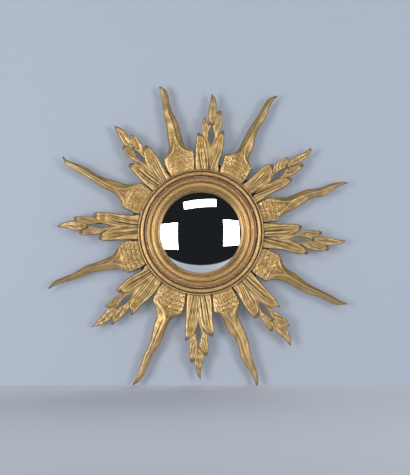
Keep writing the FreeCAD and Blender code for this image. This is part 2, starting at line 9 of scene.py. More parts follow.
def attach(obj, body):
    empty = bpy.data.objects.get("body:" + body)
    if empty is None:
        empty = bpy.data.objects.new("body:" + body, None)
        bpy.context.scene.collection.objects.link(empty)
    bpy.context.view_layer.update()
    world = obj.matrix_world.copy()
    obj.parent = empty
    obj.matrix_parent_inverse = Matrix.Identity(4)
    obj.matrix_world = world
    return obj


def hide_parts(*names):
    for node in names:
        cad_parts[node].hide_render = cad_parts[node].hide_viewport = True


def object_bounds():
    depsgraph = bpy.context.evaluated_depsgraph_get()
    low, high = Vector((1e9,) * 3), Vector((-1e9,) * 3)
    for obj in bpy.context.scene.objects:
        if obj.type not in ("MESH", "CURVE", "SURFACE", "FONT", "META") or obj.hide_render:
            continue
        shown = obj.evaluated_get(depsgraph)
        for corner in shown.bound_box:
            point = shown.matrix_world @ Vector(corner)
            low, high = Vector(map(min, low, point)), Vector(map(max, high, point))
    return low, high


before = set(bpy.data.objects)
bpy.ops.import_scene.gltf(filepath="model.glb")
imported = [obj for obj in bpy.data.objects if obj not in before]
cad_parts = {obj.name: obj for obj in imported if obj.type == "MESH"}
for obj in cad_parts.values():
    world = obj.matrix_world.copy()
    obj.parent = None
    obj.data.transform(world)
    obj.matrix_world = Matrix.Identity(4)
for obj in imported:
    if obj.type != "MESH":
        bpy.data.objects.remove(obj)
cad_low, cad_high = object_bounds()

# Row frame: +X right, +Z up, the mirror faces -Y and the wall is the plane Y = 0. Sizes are in
# millimetres until a mesh is made. A depth is a distance from the wall towards the viewer.
MM = 0.001


# ---- The ring of mouldings ----
# One turned hardwood ring with a torus, an ovolo and a bead, coated with gesso, gilded over red
# bole and toned brown. Its crests are paler, rubbed and with a painted highlight, and its quirks
# darker, with wax, dirt and painted shade.

# Stretches of the ring's section from its rebate outwards, as (radius, depth) points. The torus, the
# ovolo and the bead are arcs, each through three points.
RING_LIP = ((98.0, 22.0), (98.0, 40.0), (89.0, 40.0), (89.0, 43.4), (91.5, 45.0), (92.6, 46.4))
RING_FILLET = ((92.6, 46.4), (93.6, 47.2), (94.6, 46.0))
RING_TORUS = ((94.8, 48.4), (99.3, 55.5), (103.9, 48.2))
RING_OVOLO = ((104.3, 48.0), (109.2, 50.4), (115.4, 45.2))
RING_ARRIS = ((115.4, 45.2), (116.4, 45.4), (117.0, 44.0), (117.7, 41.4), (118.8, 41.8))
RING_BEAD = ((119.3, 43.4), (123.1, 47.4), (126.9, 43.2))
RING_EDGE = ((127.6, 39.6), (128.6, 39.0), (129.4, 40.8), (130.6, 41.4), (131.7, 40.7), (132.0, 39.4),
             (132.0, 32.0), (105.5, 32.0), (105.5, 22.0), (98.0, 22.0))
RING_STEP = 0.45
RING_SIDES = 288
SAME_POINT = 0.01
# How far a quirk or a crest stands from the smoothed section where its dirt and painted shade, or its rubbing
# and painted highlight, is at its fullest.
QUIRK_DEPTH = 0.45
CREST_HEIGHT = 0.35
# The brush went round the ring: its strokes are drawn out along it by scaling their pattern so.
STROKE_STRETCH = 0.6
# The outer arris has flaked above this depth, and the shellac has pooled round this bearing.
FLAKING_ABOVE = 38.0
AMBER_BEARING = 120.0
SHARP_FROM_DEG = 40.0


def linear(hex_colour):
    """An sRGB hex colour as linear RGBA."""
    channels = (int(hex_colour[n:n + 2], 16) / 255 for n in (1, 3, 5))
    return tuple(c / 12.92 if c <= 0.04045 else ((c + 0.055) / 1.055) ** 2.4 for c in channels) + (1.0,)


def feed(tree, node, inputs):
    """Give inputs of a node, by their names or numbers, a value or a link from a socket or a node."""
    for key, value in inputs.items():
        if isinstance(value, bpy.types.Node):
            value = value.outputs[0]
        if isinstance(value, bpy.types.NodeSocket):
            tree.links.new(value, node.inputs[key])
        else:
            node.inputs[key].default_value = value


def add(tree, kind, inputs=None, **settings):
    """A new node with its own settings and its inputs fed."""
    node = tree.nodes.new(kind)
    for key, value in settings.items():
        setattr(node, key, value)
    feed(tree, node, inputs or {})
    return node


def new_material(name):
    """A node material with one Principled shader; returns the material, its tree and the shader."""
    material = bpy.data.materials.new(name)
    material.use_nodes = True
    return material, material.node_tree, material.node_tree.nodes["Principled BSDF"]


def toned_gilding(name, gold, pale, brown):
    """Water gilding over red bole, toned with umber wax: a soft broken sheen in gold that is deep
    where the wax is thick, pale crests that are rubbed and carry a painted highlight, matt brown in
    every hollow with dirt and painted shade, and grey-brown tips."""
    material, tree, shader = new_material(name)
    place = add(tree, "ShaderNodeTexCoord").outputs["Object"]
    grain = add(tree, "ShaderNodeAttribute", attribute_name="grain_at").outputs["Vector"]
    dirt_and_shade, rub_and_highlight, tip, umber, amber, flaking, dust = (
        add(tree, "ShaderNodeAttribute", attribute_name=key).outputs["Fac"]
        for key in ("dirt_and_shade", "rub_and_highlight", "tip", "umber", "amber", "flaking", "dust"))
    # 22 mm patches of thicker and thinner toning, 3 mm mottling, flakes 2 to 3 mm long, and brush
    # strokes 1 mm apart
    patches = add(tree, "ShaderNodeTexNoise", {"Vector": place, "Scale": 45.0, "Detail": 5.0})
    mottle = add(tree, "ShaderNodeTexNoise", {"Vector": place, "Scale": 330.0, "Detail": 3.0})
    flakes = add(tree, "ShaderNodeTexNoise", {"Vector": place, "Scale": 380.0, "Detail": 1.0})
    stretched = add(tree, "ShaderNodeMapping", {"Vector": grain, "Scale": (700.0, 70.0, 400.0)})
    strokes = add(tree, "ShaderNodeTexNoise", {"Vector": stretched, "Scale": 1.0, "Detail": 3.0})
    patch, pooled, spots, flaked, stroke = (
        add(tree, "ShaderNodeMapRange", {"Value": noise, 1: low, 2: high, 3: least, 4: most})
        for noise, low, high, least, most in (
            (patches, 0.40, 0.60, 0.0, 1.0), (patches, 0.38, 0.52, 0.25, 1.0),
            (mottle, 0.36, 0.64, 0.0, 1.0), (flakes, 0.54, 0.60, 0.0, 1.0),
            (strokes, 0.35, 0.68, 0.0, 0.8)))
    shellac = add(tree, "ShaderNodeMath", {0: amber, 1: pooled}, operation="MULTIPLY")
    streak = add(tree, "ShaderNodeMath", {0: umber, 1: 0.75, 2: stroke}, operation="MULTIPLY_ADD",
                 use_clamp=True)
    crest = add(tree, "ShaderNodeMath", {0: spots, 1: 0.6, 2: 0.55}, operation="MULTIPLY_ADD")
    # crests paled by rubbing and by a painted highlight
    rubbed_and_highlight = add(tree, "ShaderNodeMath", {0: rub_and_highlight, 1: crest}, operation="MULTIPLY", use_clamp=True)
    bare = add(tree, "ShaderNodeMath", {0: rubbed_and_highlight, 1: patches}, operation="MULTIPLY")
    bole = add(tree, "ShaderNodeMapRange", {"Value": bare, 1: 0.42, 2: 0.62, 3: 0.0, 4: 0.5})
    spread = add(tree, "ShaderNodeMath", {0: spots, 1: 0.35, 2: 0.85}, operation="MULTIPLY_ADD")
    # hollows darkened by dirt and by painted shade
    dirt_and_shade_share = add(tree, "ShaderNodeMath", {0: dirt_and_shade, 1: spread}, operation="MULTIPLY", use_clamp=True)
    gesso = add(tree, "ShaderNodeMath", {0: flaking, 1: flaked}, operation="MULTIPLY")
    veil = add(tree, "ShaderNodeMath", {0: dust, 1: 0.34}, operation="MULTIPLY")
    # over the gold: pooled shellac, umber, rubbed crests with a painted highlight, red bole where
    # rubbing and a thin patch meet, dirt with painted shade, burnt tips, pinkish gesso where the gold
    # has flaked, and dust towards the tips
    colour = add(tree, "ShaderNodeMix", {0: patch, 6: linear(gold[0]), 7: linear(gold[1])}, data_type="RGBA")
    for share, hue in ((shellac, "#c98424"), (streak, gold[2]), (rubbed_and_highlight, pale), (bole, "#a4663c"),
                       (dirt_and_shade_share, brown), (tip, "#4b392c"), (gesso, "#f0dac4"), (veil, "#8f8266")):
        colour = add(tree, "ShaderNodeMix", {0: share, 6: colour.outputs[2], 7: linear(hue)},
                     data_type="RGBA")
    dull = add(tree, "ShaderNodeMath", {0: dirt_and_shade_share, 1: tip}, operation="MAXIMUM")
    metal = add(tree, "ShaderNodeMapRange", {"Value": dull, 1: 0.0, 2: 1.0, 3: 0.66, 4: 0.08})
    rough = add(tree, "ShaderNodeMapRange", {"Value": dull, 1: 0.0, 2: 1.0, 3: 0.33, 4: 0.70})
    uneven = add(tree, "ShaderNodeMath", {0: spots, 1: 0.12, 2: rough}, operation="MULTIPLY_ADD")
    relief = add(tree, "ShaderNodeMath", {0: strokes, 1: mottle}, operation="ADD")
    bump = add(tree, "ShaderNodeBump", {"Height": relief, "Distance": 0.0006, "Strength": 0.6})
    feed(tree, shader, {"Base Color": colour.outputs[2], "Metallic": metal, "Roughness": uneven,
                        "Normal": bump})
    return material


def make_piece(name, points, faces, values=None, materials=(), back_faces=()):
    """A mesh object at the origin, from points in millimetres in the row frame. values maps the names
    of point attributes to their numbers, and back_faces are the faces in the second material."""
    mesh = bpy.data.meshes.new(name)
    mesh.from_pydata((np.asarray(points) * MM).tolist(), [], faces)
    for key, numbers in (values or {}).items():
        numbers = np.asarray(numbers, np.float32)
        kind, field = ("FLOAT", "value") if numbers.ndim == 1 else ("FLOAT_VECTOR", "vector")
        mesh.attributes.new(key, kind, "POINT").data.foreach_set(field, numbers.ravel())
    for material in materials:
        mesh.materials.append(material)
    if len(back_faces):
        slots = np.zeros(len(mesh.polygons), np.int32)
        slots[list(back_faces)] = 1
        mesh.polygons.foreach_set("material_index", slots)
    work = bmesh.new()
    work.from_mesh(mesh)
    bmesh.ops.recalc_face_normals(work, faces=work.faces)
    work.to_mesh(mesh)
    work.free()
    mesh.shade_smooth()
    mesh.set_sharp_from_angle(angle=math.radians(SHARP_FROM_DEG))
    piece = bpy.data.objects.new(name, mesh)
    bpy.context.scene.collection.objects.link(piece)
    return piece


def arc_through(start, middle, end):
    """Points a step apart on the arc through three (radius, depth) points."""
    (ax, ay), (bx, by), (cx, cy) = start, middle, end
    turn = 2 * (ax * (by - cy) + bx * (cy - ay) + cx * (ay - by))
    a2, b2, c2 = ax**2 + ay**2, bx**2 + by**2, cx**2 + cy**2
    x = (a2 * (by - cy) + b2 * (cy - ay) + c2 * (ay - by)) / turn
    y = (a2 * (cx - bx) + b2 * (ax - cx) + c2 * (bx - ax)) / turn
    radius = math.hypot(ax - x, ay - y)
    first, last = (math.atan2(p[1] - y, p[0] - x) for p in (start, end))
    if last > first:
        last -= 2 * math.pi
    angles = np.linspace(first, last, max(3, round(radius * (first - last) / RING_STEP)))
    return np.column_stack([x + radius * np.cos(angles), y + radius * np.sin(angles)])


def straight_runs(corners):
    """Points a step apart on the straight lines from corner to corner."""
    runs = []
    for a, b in zip(np.array(corners), np.array(corners)[1:]):
        share = np.linspace(0, 1, max(2, round(math.dist(a, b) / RING_STEP)), endpoint=False)[:, None]
        runs.append(a + (b - a) * share)
    return np.vstack(runs + [np.array(corners[-1:])])


def hollowness(heights, rounds, axes):
    """How far each point of a relief lies below its surroundings, in millimetres."""
    smooth = heights.copy()
    for _ in range(rounds):
        for axis in axes:
            pad = [(1, 1) if n == axis else (0, 0) for n in range(heights.ndim)]
            wide = np.pad(smooth, pad, mode="edge")
            near = [np.take(wide, range(k, k + heights.shape[axis]), axis) for k in (0, 1, 2)]
            smooth = (near[0] + 2 * near[1] + near[2]) / 4
    return smooth - heights


def band(loop, other):
    """Quads that join two closed loops of point numbers."""
    quads = zip(loop, np.roll(loop, -1), np.roll(other, -1), other)
    return [tuple(map(int, quad)) for quad in quads]


def swung(v, u, bearing):
    """Where a place v to the right and u up lands when it swings clockwise to a bearing: x and z."""
    angle = math.radians(bearing)
    return u * math.sin(angle) + v * math.cos(angle), u * math.cos(angle) - v * math.sin(angle)


def spin_profile(profile, sides):
    """A closed (radius, depth) profile spun round the mirror's axis: points and faces."""
    angles = np.arange(sides) * 2 * math.pi / sides
    r, depth = profile[:, 0], profile[:, 1]
    points = np.stack([np.outer(np.sin(angles), r), np.tile(-depth, (sides, 1)),
                       np.outer(np.cos(angles), r)], axis=-1).reshape(-1, 3)
    count = len(profile)
    faces = []
    for n in range(sides):
        here, there = n * count, (n + 1) % sides * count
        faces += [(here + k, here + (k + 1) % count, there + (k + 1) % count, there + k)
                  for k in range(count)]
    return points, faces


def spin_solid(profile, sides):
    """A (radius, depth) profile spun round the mirror's axis, with a flat cap at each of its ends."""
    points, faces = spin_profile(profile, sides)
    count = len(profile)
    faces = [face for n, face in enumerate(faces) if n % count != count - 1]
    return points, faces + [tuple(n * count + end for n in range(sides)) for end in (0, count - 1)]


ring_profile = np.vstack([straight_runs(RING_LIP), straight_runs(RING_FILLET), arc_through(*RING_TORUS),
                          arc_through(*RING_OVOLO), straight_runs(RING_ARRIS), arc_through(*RING_BEAD),
                          straight_runs(RING_EDGE)])
apart = np.hypot(*(ring_profile - np.roll(ring_profile, 1, axis=0)).T) > SAME_POINT
ring_profile = ring_profile[apart]
ring_along = np.roll(ring_profile, -2, axis=0) - np.roll(ring_profile, 2, axis=0)
ring_out = np.column_stack([-ring_along[:, 1], ring_along[:, 0]])
ring_out /= np.maximum(np.hypot(*ring_out.T), 1e-6)[:, None]
ring_sunk = (hollowness(ring_profile, 12, [0]) * ring_out).sum(axis=1)
ring_r, ring_depth = ring_profile.T
ring_values = {
    # quirks darkened by dirt and painted shade, crests paled by rubbing and a painted highlight
    "dirt_and_shade": np.clip(ring_sunk / QUIRK_DEPTH, 0, 1),
    "rub_and_highlight": np.clip(-ring_sunk / CREST_HEIGHT, 0, 1),
    "tip": np.zeros(len(ring_profile)),
    # the slope between torus and bead is toned darkest, and so is the rim
    "umber": np.interp(ring_r, (89, 91, 95, 104, 107, 115, 117, 119, 127, 129, 132),
                       (0.5, 0.3, 0.0, 0.1, 0.6, 0.9, 0.9, 0.2, 0.2, 0.8, 0.7)),
    "flaking": np.where(ring_depth < FLAKING_ABOVE, 0,
                        np.interp(ring_r, (113.5, 115.5, 117.2, 118.2), (0.0, 0.8, 0.8, 0.0))),
    "amber": np.interp(ring_r, (93.0, 96.0, 103.0, 107.0), (0.0, 0.75, 0.75, 0.0))}
ring_values = {key: np.tile(numbers, RING_SIDES) for key, numbers in ring_values.items()}
ring_points, ring_faces = spin_profile(ring_profile, RING_SIDES)
ring_x, _, ring_z = ring_points.T
from_amber = np.arctan2(ring_x, ring_z) - math.radians(AMBER_BEARING)
ring_values["amber"] = ring_values["amber"] * (0.5 + 0.5 * np.cos(from_amber))
ring_values["grain_at"] = np.column_stack([np.tile(ring_r, RING_SIDES), STROKE_STRETCH * ring_x,
                                           STROKE_STRETCH * ring_z]) * MM
ring_gilding = toned_gilding("toned_gilding_ring", ("#bb8537", "#d1a04c", "#7d5326"), "#ecd09c",
                             "#463017")
moulding = make_piece("gilded_moulding_ring", ring_points, ring_faces, ring_values, [ring_gilding])
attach(moulding, "root")
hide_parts("moulding_ring")


# ---- The convex glass ----
# A cap of blown glass, silvered behind and held in the ring's rebate. Its front rises 17 mm from
# the sight edge to its middle and shows the room small and curved.

SIGHT_R = 89.0
GLASS_R = 96.5
DOME_R = 240.0
GLASS_THICK = 3.0
LIP_DEPTH = 40.0
GLASS_RINGS = 96
GLASS_SIDES = 288
POLE_R = 0.4


def silvered_glass():
    """Back-silvered glass: a hard clean mirror that takes a little of the light away."""
    material, tree, shader = new_material("silvered_glass")
    place = add(tree, "ShaderNodeTexCoord").outputs["Object"]
    # 20 mm clouds of wear in the silvering, too faint to see except as a soft edge to reflections
    clouds = add(tree, "ShaderNodeTexNoise", {"Vector": place, "Scale": 50.0, "Detail": 4.0})
    haze = add(tree, "ShaderNodeMapRange", {"Value": clouds, 1: 0.3, 2: 0.8, 3: 0.004, 4: 0.03})
    feed(tree, shader, {"Base Color": linear("#eceff0"), "Metallic": 1.0, "Roughness": haze,
                        "Coat Weight": 0.3, "Coat Roughness": 0.01})
    return material


dome_centre = LIP_DEPTH - math.sqrt(DOME_R**2 - SIGHT_R**2)
front_r = np.linspace(POLE_R, GLASS_R, GLASS_RINGS)
back_r = np.linspace(GLASS_R, POLE_R, GLASS_RINGS // 3)
glass_profile = np.vstack([
    np.column_stack([front_r, dome_centre + np.sqrt(DOME_R**2 - front_r**2)]),
    np.column_stack([back_r, dome_centre + np.sqrt((DOME_R - GLASS_THICK)**2 - back_r**2)])])
glass = make_piece("convex_mirror_glass", *spin_solid(glass_profile, GLASS_SIDES),
                   materials=[silvered_glass()])
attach(glass, "root")
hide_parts("convex_glass")


# ---- The eight flame rays ----
# Wavy tapering blades carved from limewood, with an arris down the middle that splits in two above
# a block of overlapping scales. Each is screwed to the board with its root under the mouldings.

BOARD_FACE = 22.0
RING_R = 132.0
TONGUE_R = 131.6
TONGUE_TOP = 9.9
ROOT_START = 107.0
RAY_GAP = 0.8
BACK_STEP = 0.15
# Dust lies on the rays from the top of a flame's block outwards, and is thickest from DUSTY_U.
BLOCK_TOP_U = 160.0
DUSTY_U = 290.0

# Bearings of the joints between neighbouring rays, clockwise from the top.
JOINTS = (355.0, 16.5, 40.6, 62.4, 81.4, 104.0, 127.8, 150.2,
          170.5, 192.7, 217.8, 239.4, 263.3, 286.2, 310.6, 331.6)

# Each flame ray: its bearing, then stations (u, left edge, ridge, right edge) from base to tip,
# where u runs outwards from the mirror's axis and the rest are distances to the right of it.
FLAMES = {
    "nne": (27, ((150, -26, 2, 34), (168, -29, 2, 36), (176, -22, 2, 27), (184, -12.5, 2, 20),
                 (192, -9, 2, 17.5), (212, -9, 2, 17), (230, -9, 2, 12), (250, -8, 2.5, 9.5),
                 (275, -5, 3, 12), (300, -4, 3.5, 9.5), (320, 0, 6, 10), (331, 10, 12, 14))),
    "ene": (71, ((145, -22, 3, 26), (160, -23, 3, 30), (170, -19, 3, 23.5), (180, -16, 3, 20),
                 (192, -12, 1, 18), (208, -11.5, -1, 16.5), (222, -12.5, -3, 12.5), (240, -13, -4, 8),
                 (252, -11, -3, 7.5), (270, -7.5, -1, 11.5), (290, -8, -3, 7), (312, -5.5, -2, 2.5),
                 (327, -0.5, 0.5, 2))),
    "ese": (116, ((150, -30, 0, 31), (168, -31, 0, 32), (178, -24, 0, 23), (186, -16, 0, 19.5),
                  (194, -12, 0.5, 17), (215, -9.5, 2.5, 16), (235, -5.5, 4.5, 17.5), (255, -2, 5, 17.5),
                  (280, -2, 4, 13.5), (305, -1.5, 5, 13), (325, 0, 5, 11.5), (341, -1, 0.5, 2))),
    "sse": (160, ((150, -26, 0, 28), (165, -27, 0, 31.5), (174, -22.5, 0, 23), (182, -17.5, 0, 19),
                  (192, -14, -0.5, 18), (212, -14.5, -1.5, 16.5), (222, -15.5, -2.5, 14.5),
                  (230, -16.5, -3, 9.5), (250, -15.5, -4, 8), (272, -12, -2, 9.5), (290, -11, -4, 8),
                  (312, -11, -5, 3), (330, -8.5, -4, 0.5), (342, -2.5, -1, 0.5))),
    "ssw": (204, ((150, -31, -9, 35), (172, -34, -9, 34.5), (180, -25.5, -9, 25.5), (188, -19, -10, 19),
                  (197, -16.5, -9, 13), (212, -15.5, -7, 11.5), (235, -16.5, -6, 7), (252, -16.5, -6, 4.5),
                  (270, -13, -5.5, 4), (282, -12, -5, 5), (300, -13.5, -5, 3), (325, -12.5, -6, 0.5),
                  (340, -8, -4, 0), (350, -1.5, 0, 1.5))),
    "wsw": (250, ((150, -27, 5, 37), (170, -28, 5, 36), (178, -22, 5, 28), (186, -15, 5, 21.5),
                  (196, -10, 5, 18), (210, -7.5, 6, 17), (230, -3, 8, 16), (250, 0, 9, 17.5),
                  (265, -1.5, 8, 14.5), (285, -2, 6, 11), (305, 0, 5, 10.5), (328, 0, 4, 8),
                  (341, -2.5, -1, 0.5))),
    "wnw": (297, ((145, -27, 0, 34), (158, -27.5, 0, 36), (170, -28, 0, 29), (178, -21, 0, 23),
                  (187, -15, 0, 19), (197, -10.5, 0.5, 17), (215, -9, 1, 14.5), (235, -9, 2, 11),
                  (255, -7, 2.5, 10), (278, -4.5, 5, 12.5), (300, -4, 5.5, 10.5), (320, -1, 5, 8.5),
                  (333, 9, 10.5, 12))),
    "nnw": (344, ((150, -33, 0, 30), (168, -34, 0, 33), (177, -24.5, 0, 23.5), (186, -17.5, 0.5, 18),
                  (196, -14, 1.5, 17), (212, -12, 3, 17), (230, -8.5, 4, 17.5), (243, -7, 4, 16.5),
                  (262, -6.5, 3, 12.5), (280, -4, 4, 12), (298, -1, 6, 14), (311, 0, 6, 12),
                  (322, 0, 1.5, 3))),
}

FLAME_COLUMNS = 64
# Heights off the board of a blade's edge and of its arris.
FLAME_HEIGHTS = {"base": (10.0, 14.0), "neck": (8.4, 14.2), "tip": (3.0, 5.4)}
# The rows of points across a blade are arcs round the mirror at first, and straight further out.
ARCS_TO_U, STRAIGHT_FROM_U = 160.0, 205.0
FINE_TO_U = 176.0
FINE_STEP, STEP, ROOT_STEP = 0.55, 1.0, 4.0
NECK_U = 194.0
# The arris splits in two below SPLIT_U[1], and its arms are furthest apart from SPLIT_U[0] inwards.
SPLIT_U = (171.0, 208.0)
SPLIT_SHARE = 0.72
SPLIT_DEPTH = 2.8
SCALE_ENDS = (141.0, 151.0, 161.0, 170.5)
SCALE_WIDTH = 11.0
SCALE_LAP = 3.4
SCALE_FADE_U = (169.0, 176.0)
# How deep the scales are cut: on three of the rays they are worn, or were cut shallow.
SCALE_DEPTHS = {"nne": 0.75, "wnw": 0.55, "nnw": 0.5}
EDGE_ROUND = 3.6
VEIN_AT = 0.34
VEIN_WIDTH = 0.9
VEIN_DEPTH = 0.7
ARRIS_WIDTH = 1.5
CHAR_LENGTH = 11.0
# How far a point lies below or above the carving near it, and below or above the ray round it, for
# its darkening with dirt and painted shade or its paling with rubbing and a painted highlight to be
# at its fullest, and how far the dirt and painted shade reach out from the ring, where the ray meets it.
CUT_DEPTH, VALLEY_DEPTH = 0.36, 2.4
RIDGE_HEIGHT, SWELL_HEIGHT = 0.45, 2.6
DIRT_AND_SHADE_BY_RING = 1.6
# Shares of the height at which a ray's side has points, and how dark it is there with dirt and painted shade,
# darker towards the foot.
SIDE_LEVELS = ((0.55, 0.45), (0.0, 0.85))


def joint_slopes(bearing):
    """Slopes dv/du of the joints on a ray's left and right, relative to its own bearing."""
    sides = sorted(((j - bearing + 180) % 360 - 180 for j in JOINTS), key=abs)
    left = max(s for s in sides if s < 0)
    right = min(s for s in sides if s > 0)
    return math.tan(math.radians(left)), math.tan(math.radians(right))


def smooth_through(at, known_at, known):
    """Values at the places asked for, on a smooth curve through the known ones with no overshoot."""
    known_at, known = np.array(known_at, float), np.array(known, float)
    step = np.diff(known_at)
    slope = np.diff(known) / step
    tangent = np.concatenate([slope[:1], (slope[:-1] + slope[1:]) / 2, slope[-1:]])
    flat = np.concatenate([[False], slope[:-1] * slope[1:] <= 0, [False]])
    tangent[flat] = 0
    n = np.clip(np.searchsorted(known_at, at) - 1, 0, len(step) - 1)
    t = np.clip((at - known_at[n]) / step[n], 0, 1)
    h = step[n]
    return ((2 * t**3 - 3 * t**2 + 1) * known[n] + (t**3 - 2 * t**2 + t) * h * tangent[n]
            + (3 * t**2 - 2 * t**3) * known[n + 1] + (t**3 - t**2) * h * tangent[n + 1])


def eased(low, high, value):
    """0 below low, 1 above high and a soft step between."""
    t = np.clip((value - low) / (high - low), 0, 1)
    return t * t * (3 - 2 * t)


def wander(v, u, reach, seed):
    """The hand's unevenness over a ray, from about -1 to 1, in waves about `reach` mm long."""
    draws = np.random.default_rng(seed)
    total = 0.0
    for _ in range(6):
        heading, phase = draws.uniform(0, 2 * math.pi, 2)
        wave = 2 * math.pi / (reach * draws.uniform(0.7, 1.5))
        total = total + np.sin(wave * (v * math.cos(heading) + u * math.sin(heading)) + phase)
    return total / 2.4


def scales(v, u, seed):
    """Relief of overlapping scales, cut by eye in rows round the mirror with their ends outwards."""
    radius = np.hypot(v, u) + 0.9 * wander(v, u, 13.0, seed)
    arc = np.hypot(v, u) * np.arctan2(v, u) + 1.2 * wander(v, u, 16.0, seed + 1)
    relief = np.zeros_like(radius)
    free = np.ones(radius.shape, bool)
    start = RING_R
    for row, end in enumerate(SCALE_ENDS):
        across = 2 * ((arc / SCALE_WIDTH + 0.5 * (row % 2) + 0.13 * row) % 1.0) - 1
        lip = end - 2.4 * across**2 + 0.5 * wander(v, u, 9.0, seed + 7 + row)
        mine = free & (radius <= lip)
        progress = np.clip((radius - start) / (lip - start), 0, 1)
        raised = 0.2 + 1.1 * progress**1.5 - 0.6 * across**6
        relief[mine] = raised[mine]
        free &= ~mine
        start = end - SCALE_LAP
    return relief * (1 + 0.3 * wander(v, u, 22.0, seed + 2))


def ray_shell(v, u, height, tip, cut_wax_and_shade, rubbed_and_highlight=0.0):
    """A solid from a grid of top points of an upright ray, with straight walls down to a flat back.
    Returns its points as (v, u, height), its faces, its point values and where the back faces are.
    The fifth argument is how dark each point is with wax and painted shade in a knife cut or along an edge,
    and the last how pale an arris is with rubbing and a painted highlight."""
    rows, columns = v.shape
    fine, broad = hollowness(height, 5, [0, 1]), hollowness(height, 50, [0, 1])
    # dirt and painted shade darken the ray where it meets the ring, in its cuts and in broad valleys; rubbing
    # and a painted highlight pale its ridges and swells
    near_ring = np.exp(-np.maximum(np.hypot(v, u) - RING_R, 0) / DIRT_AND_SHADE_BY_RING)
    dirt_and_shade = np.clip(fine / CUT_DEPTH, 0, 0.62) + np.clip(broad / VALLEY_DEPTH, 0, 0.35)
    dirt_and_shade = np.clip(dirt_and_shade + 0.9 * near_ring + cut_wax_and_shade, 0, 1)
    rub_and_highlight = np.clip(-fine / RIDGE_HEIGHT, 0, 1) + np.clip(-broad / SWELL_HEIGHT, 0, 0.4) + rubbed_and_highlight
    rub_and_highlight = np.clip(rub_and_highlight, 0, 1) * (1 - near_ring)
    top = np.arange(rows * columns).reshape(rows, columns)
    points = [np.stack([v, u, height], axis=-1).reshape(-1, 3)]
    rim = np.concatenate([top[:, 0], top[-1, 1:], top[-2::-1, -1], top[0, -2:0:-1]])
    edge = points[0][rim]
    rings = [rim]
    values = {"dirt_and_shade": [dirt_and_shade.ravel()], "rub_and_highlight": [rub_and_highlight.ravel()], "tip": [tip.ravel()]}
    for level, (share, dirt_and_shade_share) in enumerate(SIDE_LEVELS):
        rings.append(rows * columns + level * len(rim) + np.arange(len(rim)))
        points.append(edge * (1, 1, share))
        values["dirt_and_shade"].append(np.full(len(rim), dirt_and_shade_share))
        values["rub_and_highlight"].append(np.zeros(len(rim)))
        values["tip"].append(tip.ravel()[rim])
    faces = [(top[i, j], top[i, j + 1], top[i + 1, j + 1], top[i + 1, j])
             for i in range(rows - 1) for j in range(columns - 1)]
    for upper, lower in zip(rings, rings[1:]):
        faces += band(upper, lower)
    first_back = len(faces)
    left, right = rings[-1][:rows], rings[-1][rows + columns - 2:2 * rows + columns - 2][::-1]
    faces += [(left[i], left[i + 1], right[i + 1], right[i]) for i in range(rows - 1)]
    faces.append(tuple(rings[-1][rows - 1:rows + columns - 1]))
    faces.append((left[0],) + tuple(rings[-1][:2 * rows + columns - 4:-1]))
    values = {key: np.concatenate(parts) for key, parts in values.items()}
    return np.vstack(points), faces, values, range(first_back, len(faces))


def hang_ray(name, node, bearing, shells, materials):
    """Join a ray's shells, swing them clockwise to the ray's bearing and fix the ray to the board."""
    points, faces, backs = [], [], []
    values = {"dirt_and_shade": [], "rub_and_highlight": [], "tip": []}
    for number, (shell_points, shell_faces, shell_values, shell_backs) in enumerate(shells):
        offset = sum(len(p) for p in points)
        backs += [len(faces) + n for n in shell_backs]
        faces += [tuple(int(n) + offset for n in face) for face in shell_faces]
        # the backs step forward a hair from lobe to lobe, so that no two lie in one plane
        points.append(np.maximum(shell_points, (-np.inf, -np.inf, BACK_STEP * number)))
        for key in values:
            values[key].append(shell_values[key])
    upright = np.vstack(points)
    v, u, height = upright.T
    x, z = swung(v, u, bearing)
    values = {key: np.concatenate(parts) for key, parts in values.items()}
    values["grain_at"] = upright * MM
    values["dust"] = np.interp(u, (BLOCK_TOP_U, DUSTY_U), (0.0, 1.0))
    ray = make_piece(name, np.column_stack([x, -(BOARD_FACE + height), z]), faces, values, materials, backs)
    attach(ray, "root")
    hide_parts(node)


def bare_limewood():
    """Sawn limewood, never gilded: a dry brown gone dark with age, with fine lengthwise grain."""
    material, tree, shader = new_material("bare_limewood")
    grain = add(tree, "ShaderNodeAttribute", attribute_name="grain_at").outputs["Vector"]
    # growth rings 3 mm apart seen lengthwise, and pores under a millimetre wide
    drawn_out = add(tree, "ShaderNodeMapping", {"Vector": grain, "Scale": (330.0, 14.0, 330.0)})
    rings = add(tree, "ShaderNodeTexNoise", {"Vector": drawn_out, "Scale": 1.0, "Detail": 5.0})
    pores = add(tree, "ShaderNodeTexNoise", {"Vector": drawn_out, "Scale": 6.0, "Detail": 2.0})
    tone = add(tree, "ShaderNodeMapRange", {"Value": rings, 1: 0.3, 2: 0.7, 3: 0.0, 4: 1.0})
    wood = add(tree, "ShaderNodeMix", {0: tone, 6: linear("#6d5136"), 7: linear("#8d6e4b")},
               data_type="RGBA")
    bump = add(tree, "ShaderNodeBump", {"Height": pores, "Distance": 0.0003, "Strength": 0.6})
    feed(tree, shader, {"Base Color": wood.outputs[2], "Roughness": 0.8, "Normal": bump})
    return material


def rounded_edge(inset, radius):
    """How far a top is rounded down at a distance inside its edge, with a rounding of that radius."""
    t = 1 - np.clip(inset / np.maximum(radius, 0.1), 0, 1)
    return radius * (1 - np.sqrt(1 - 0.96 * t * t))


def tongued(v, u, height):
    """A ray's heights, thinned to a tongue where it lies under the mouldings."""
    return np.where(np.hypot(v, u) < TONGUE_R, np.minimum(height, TONGUE_TOP), height)


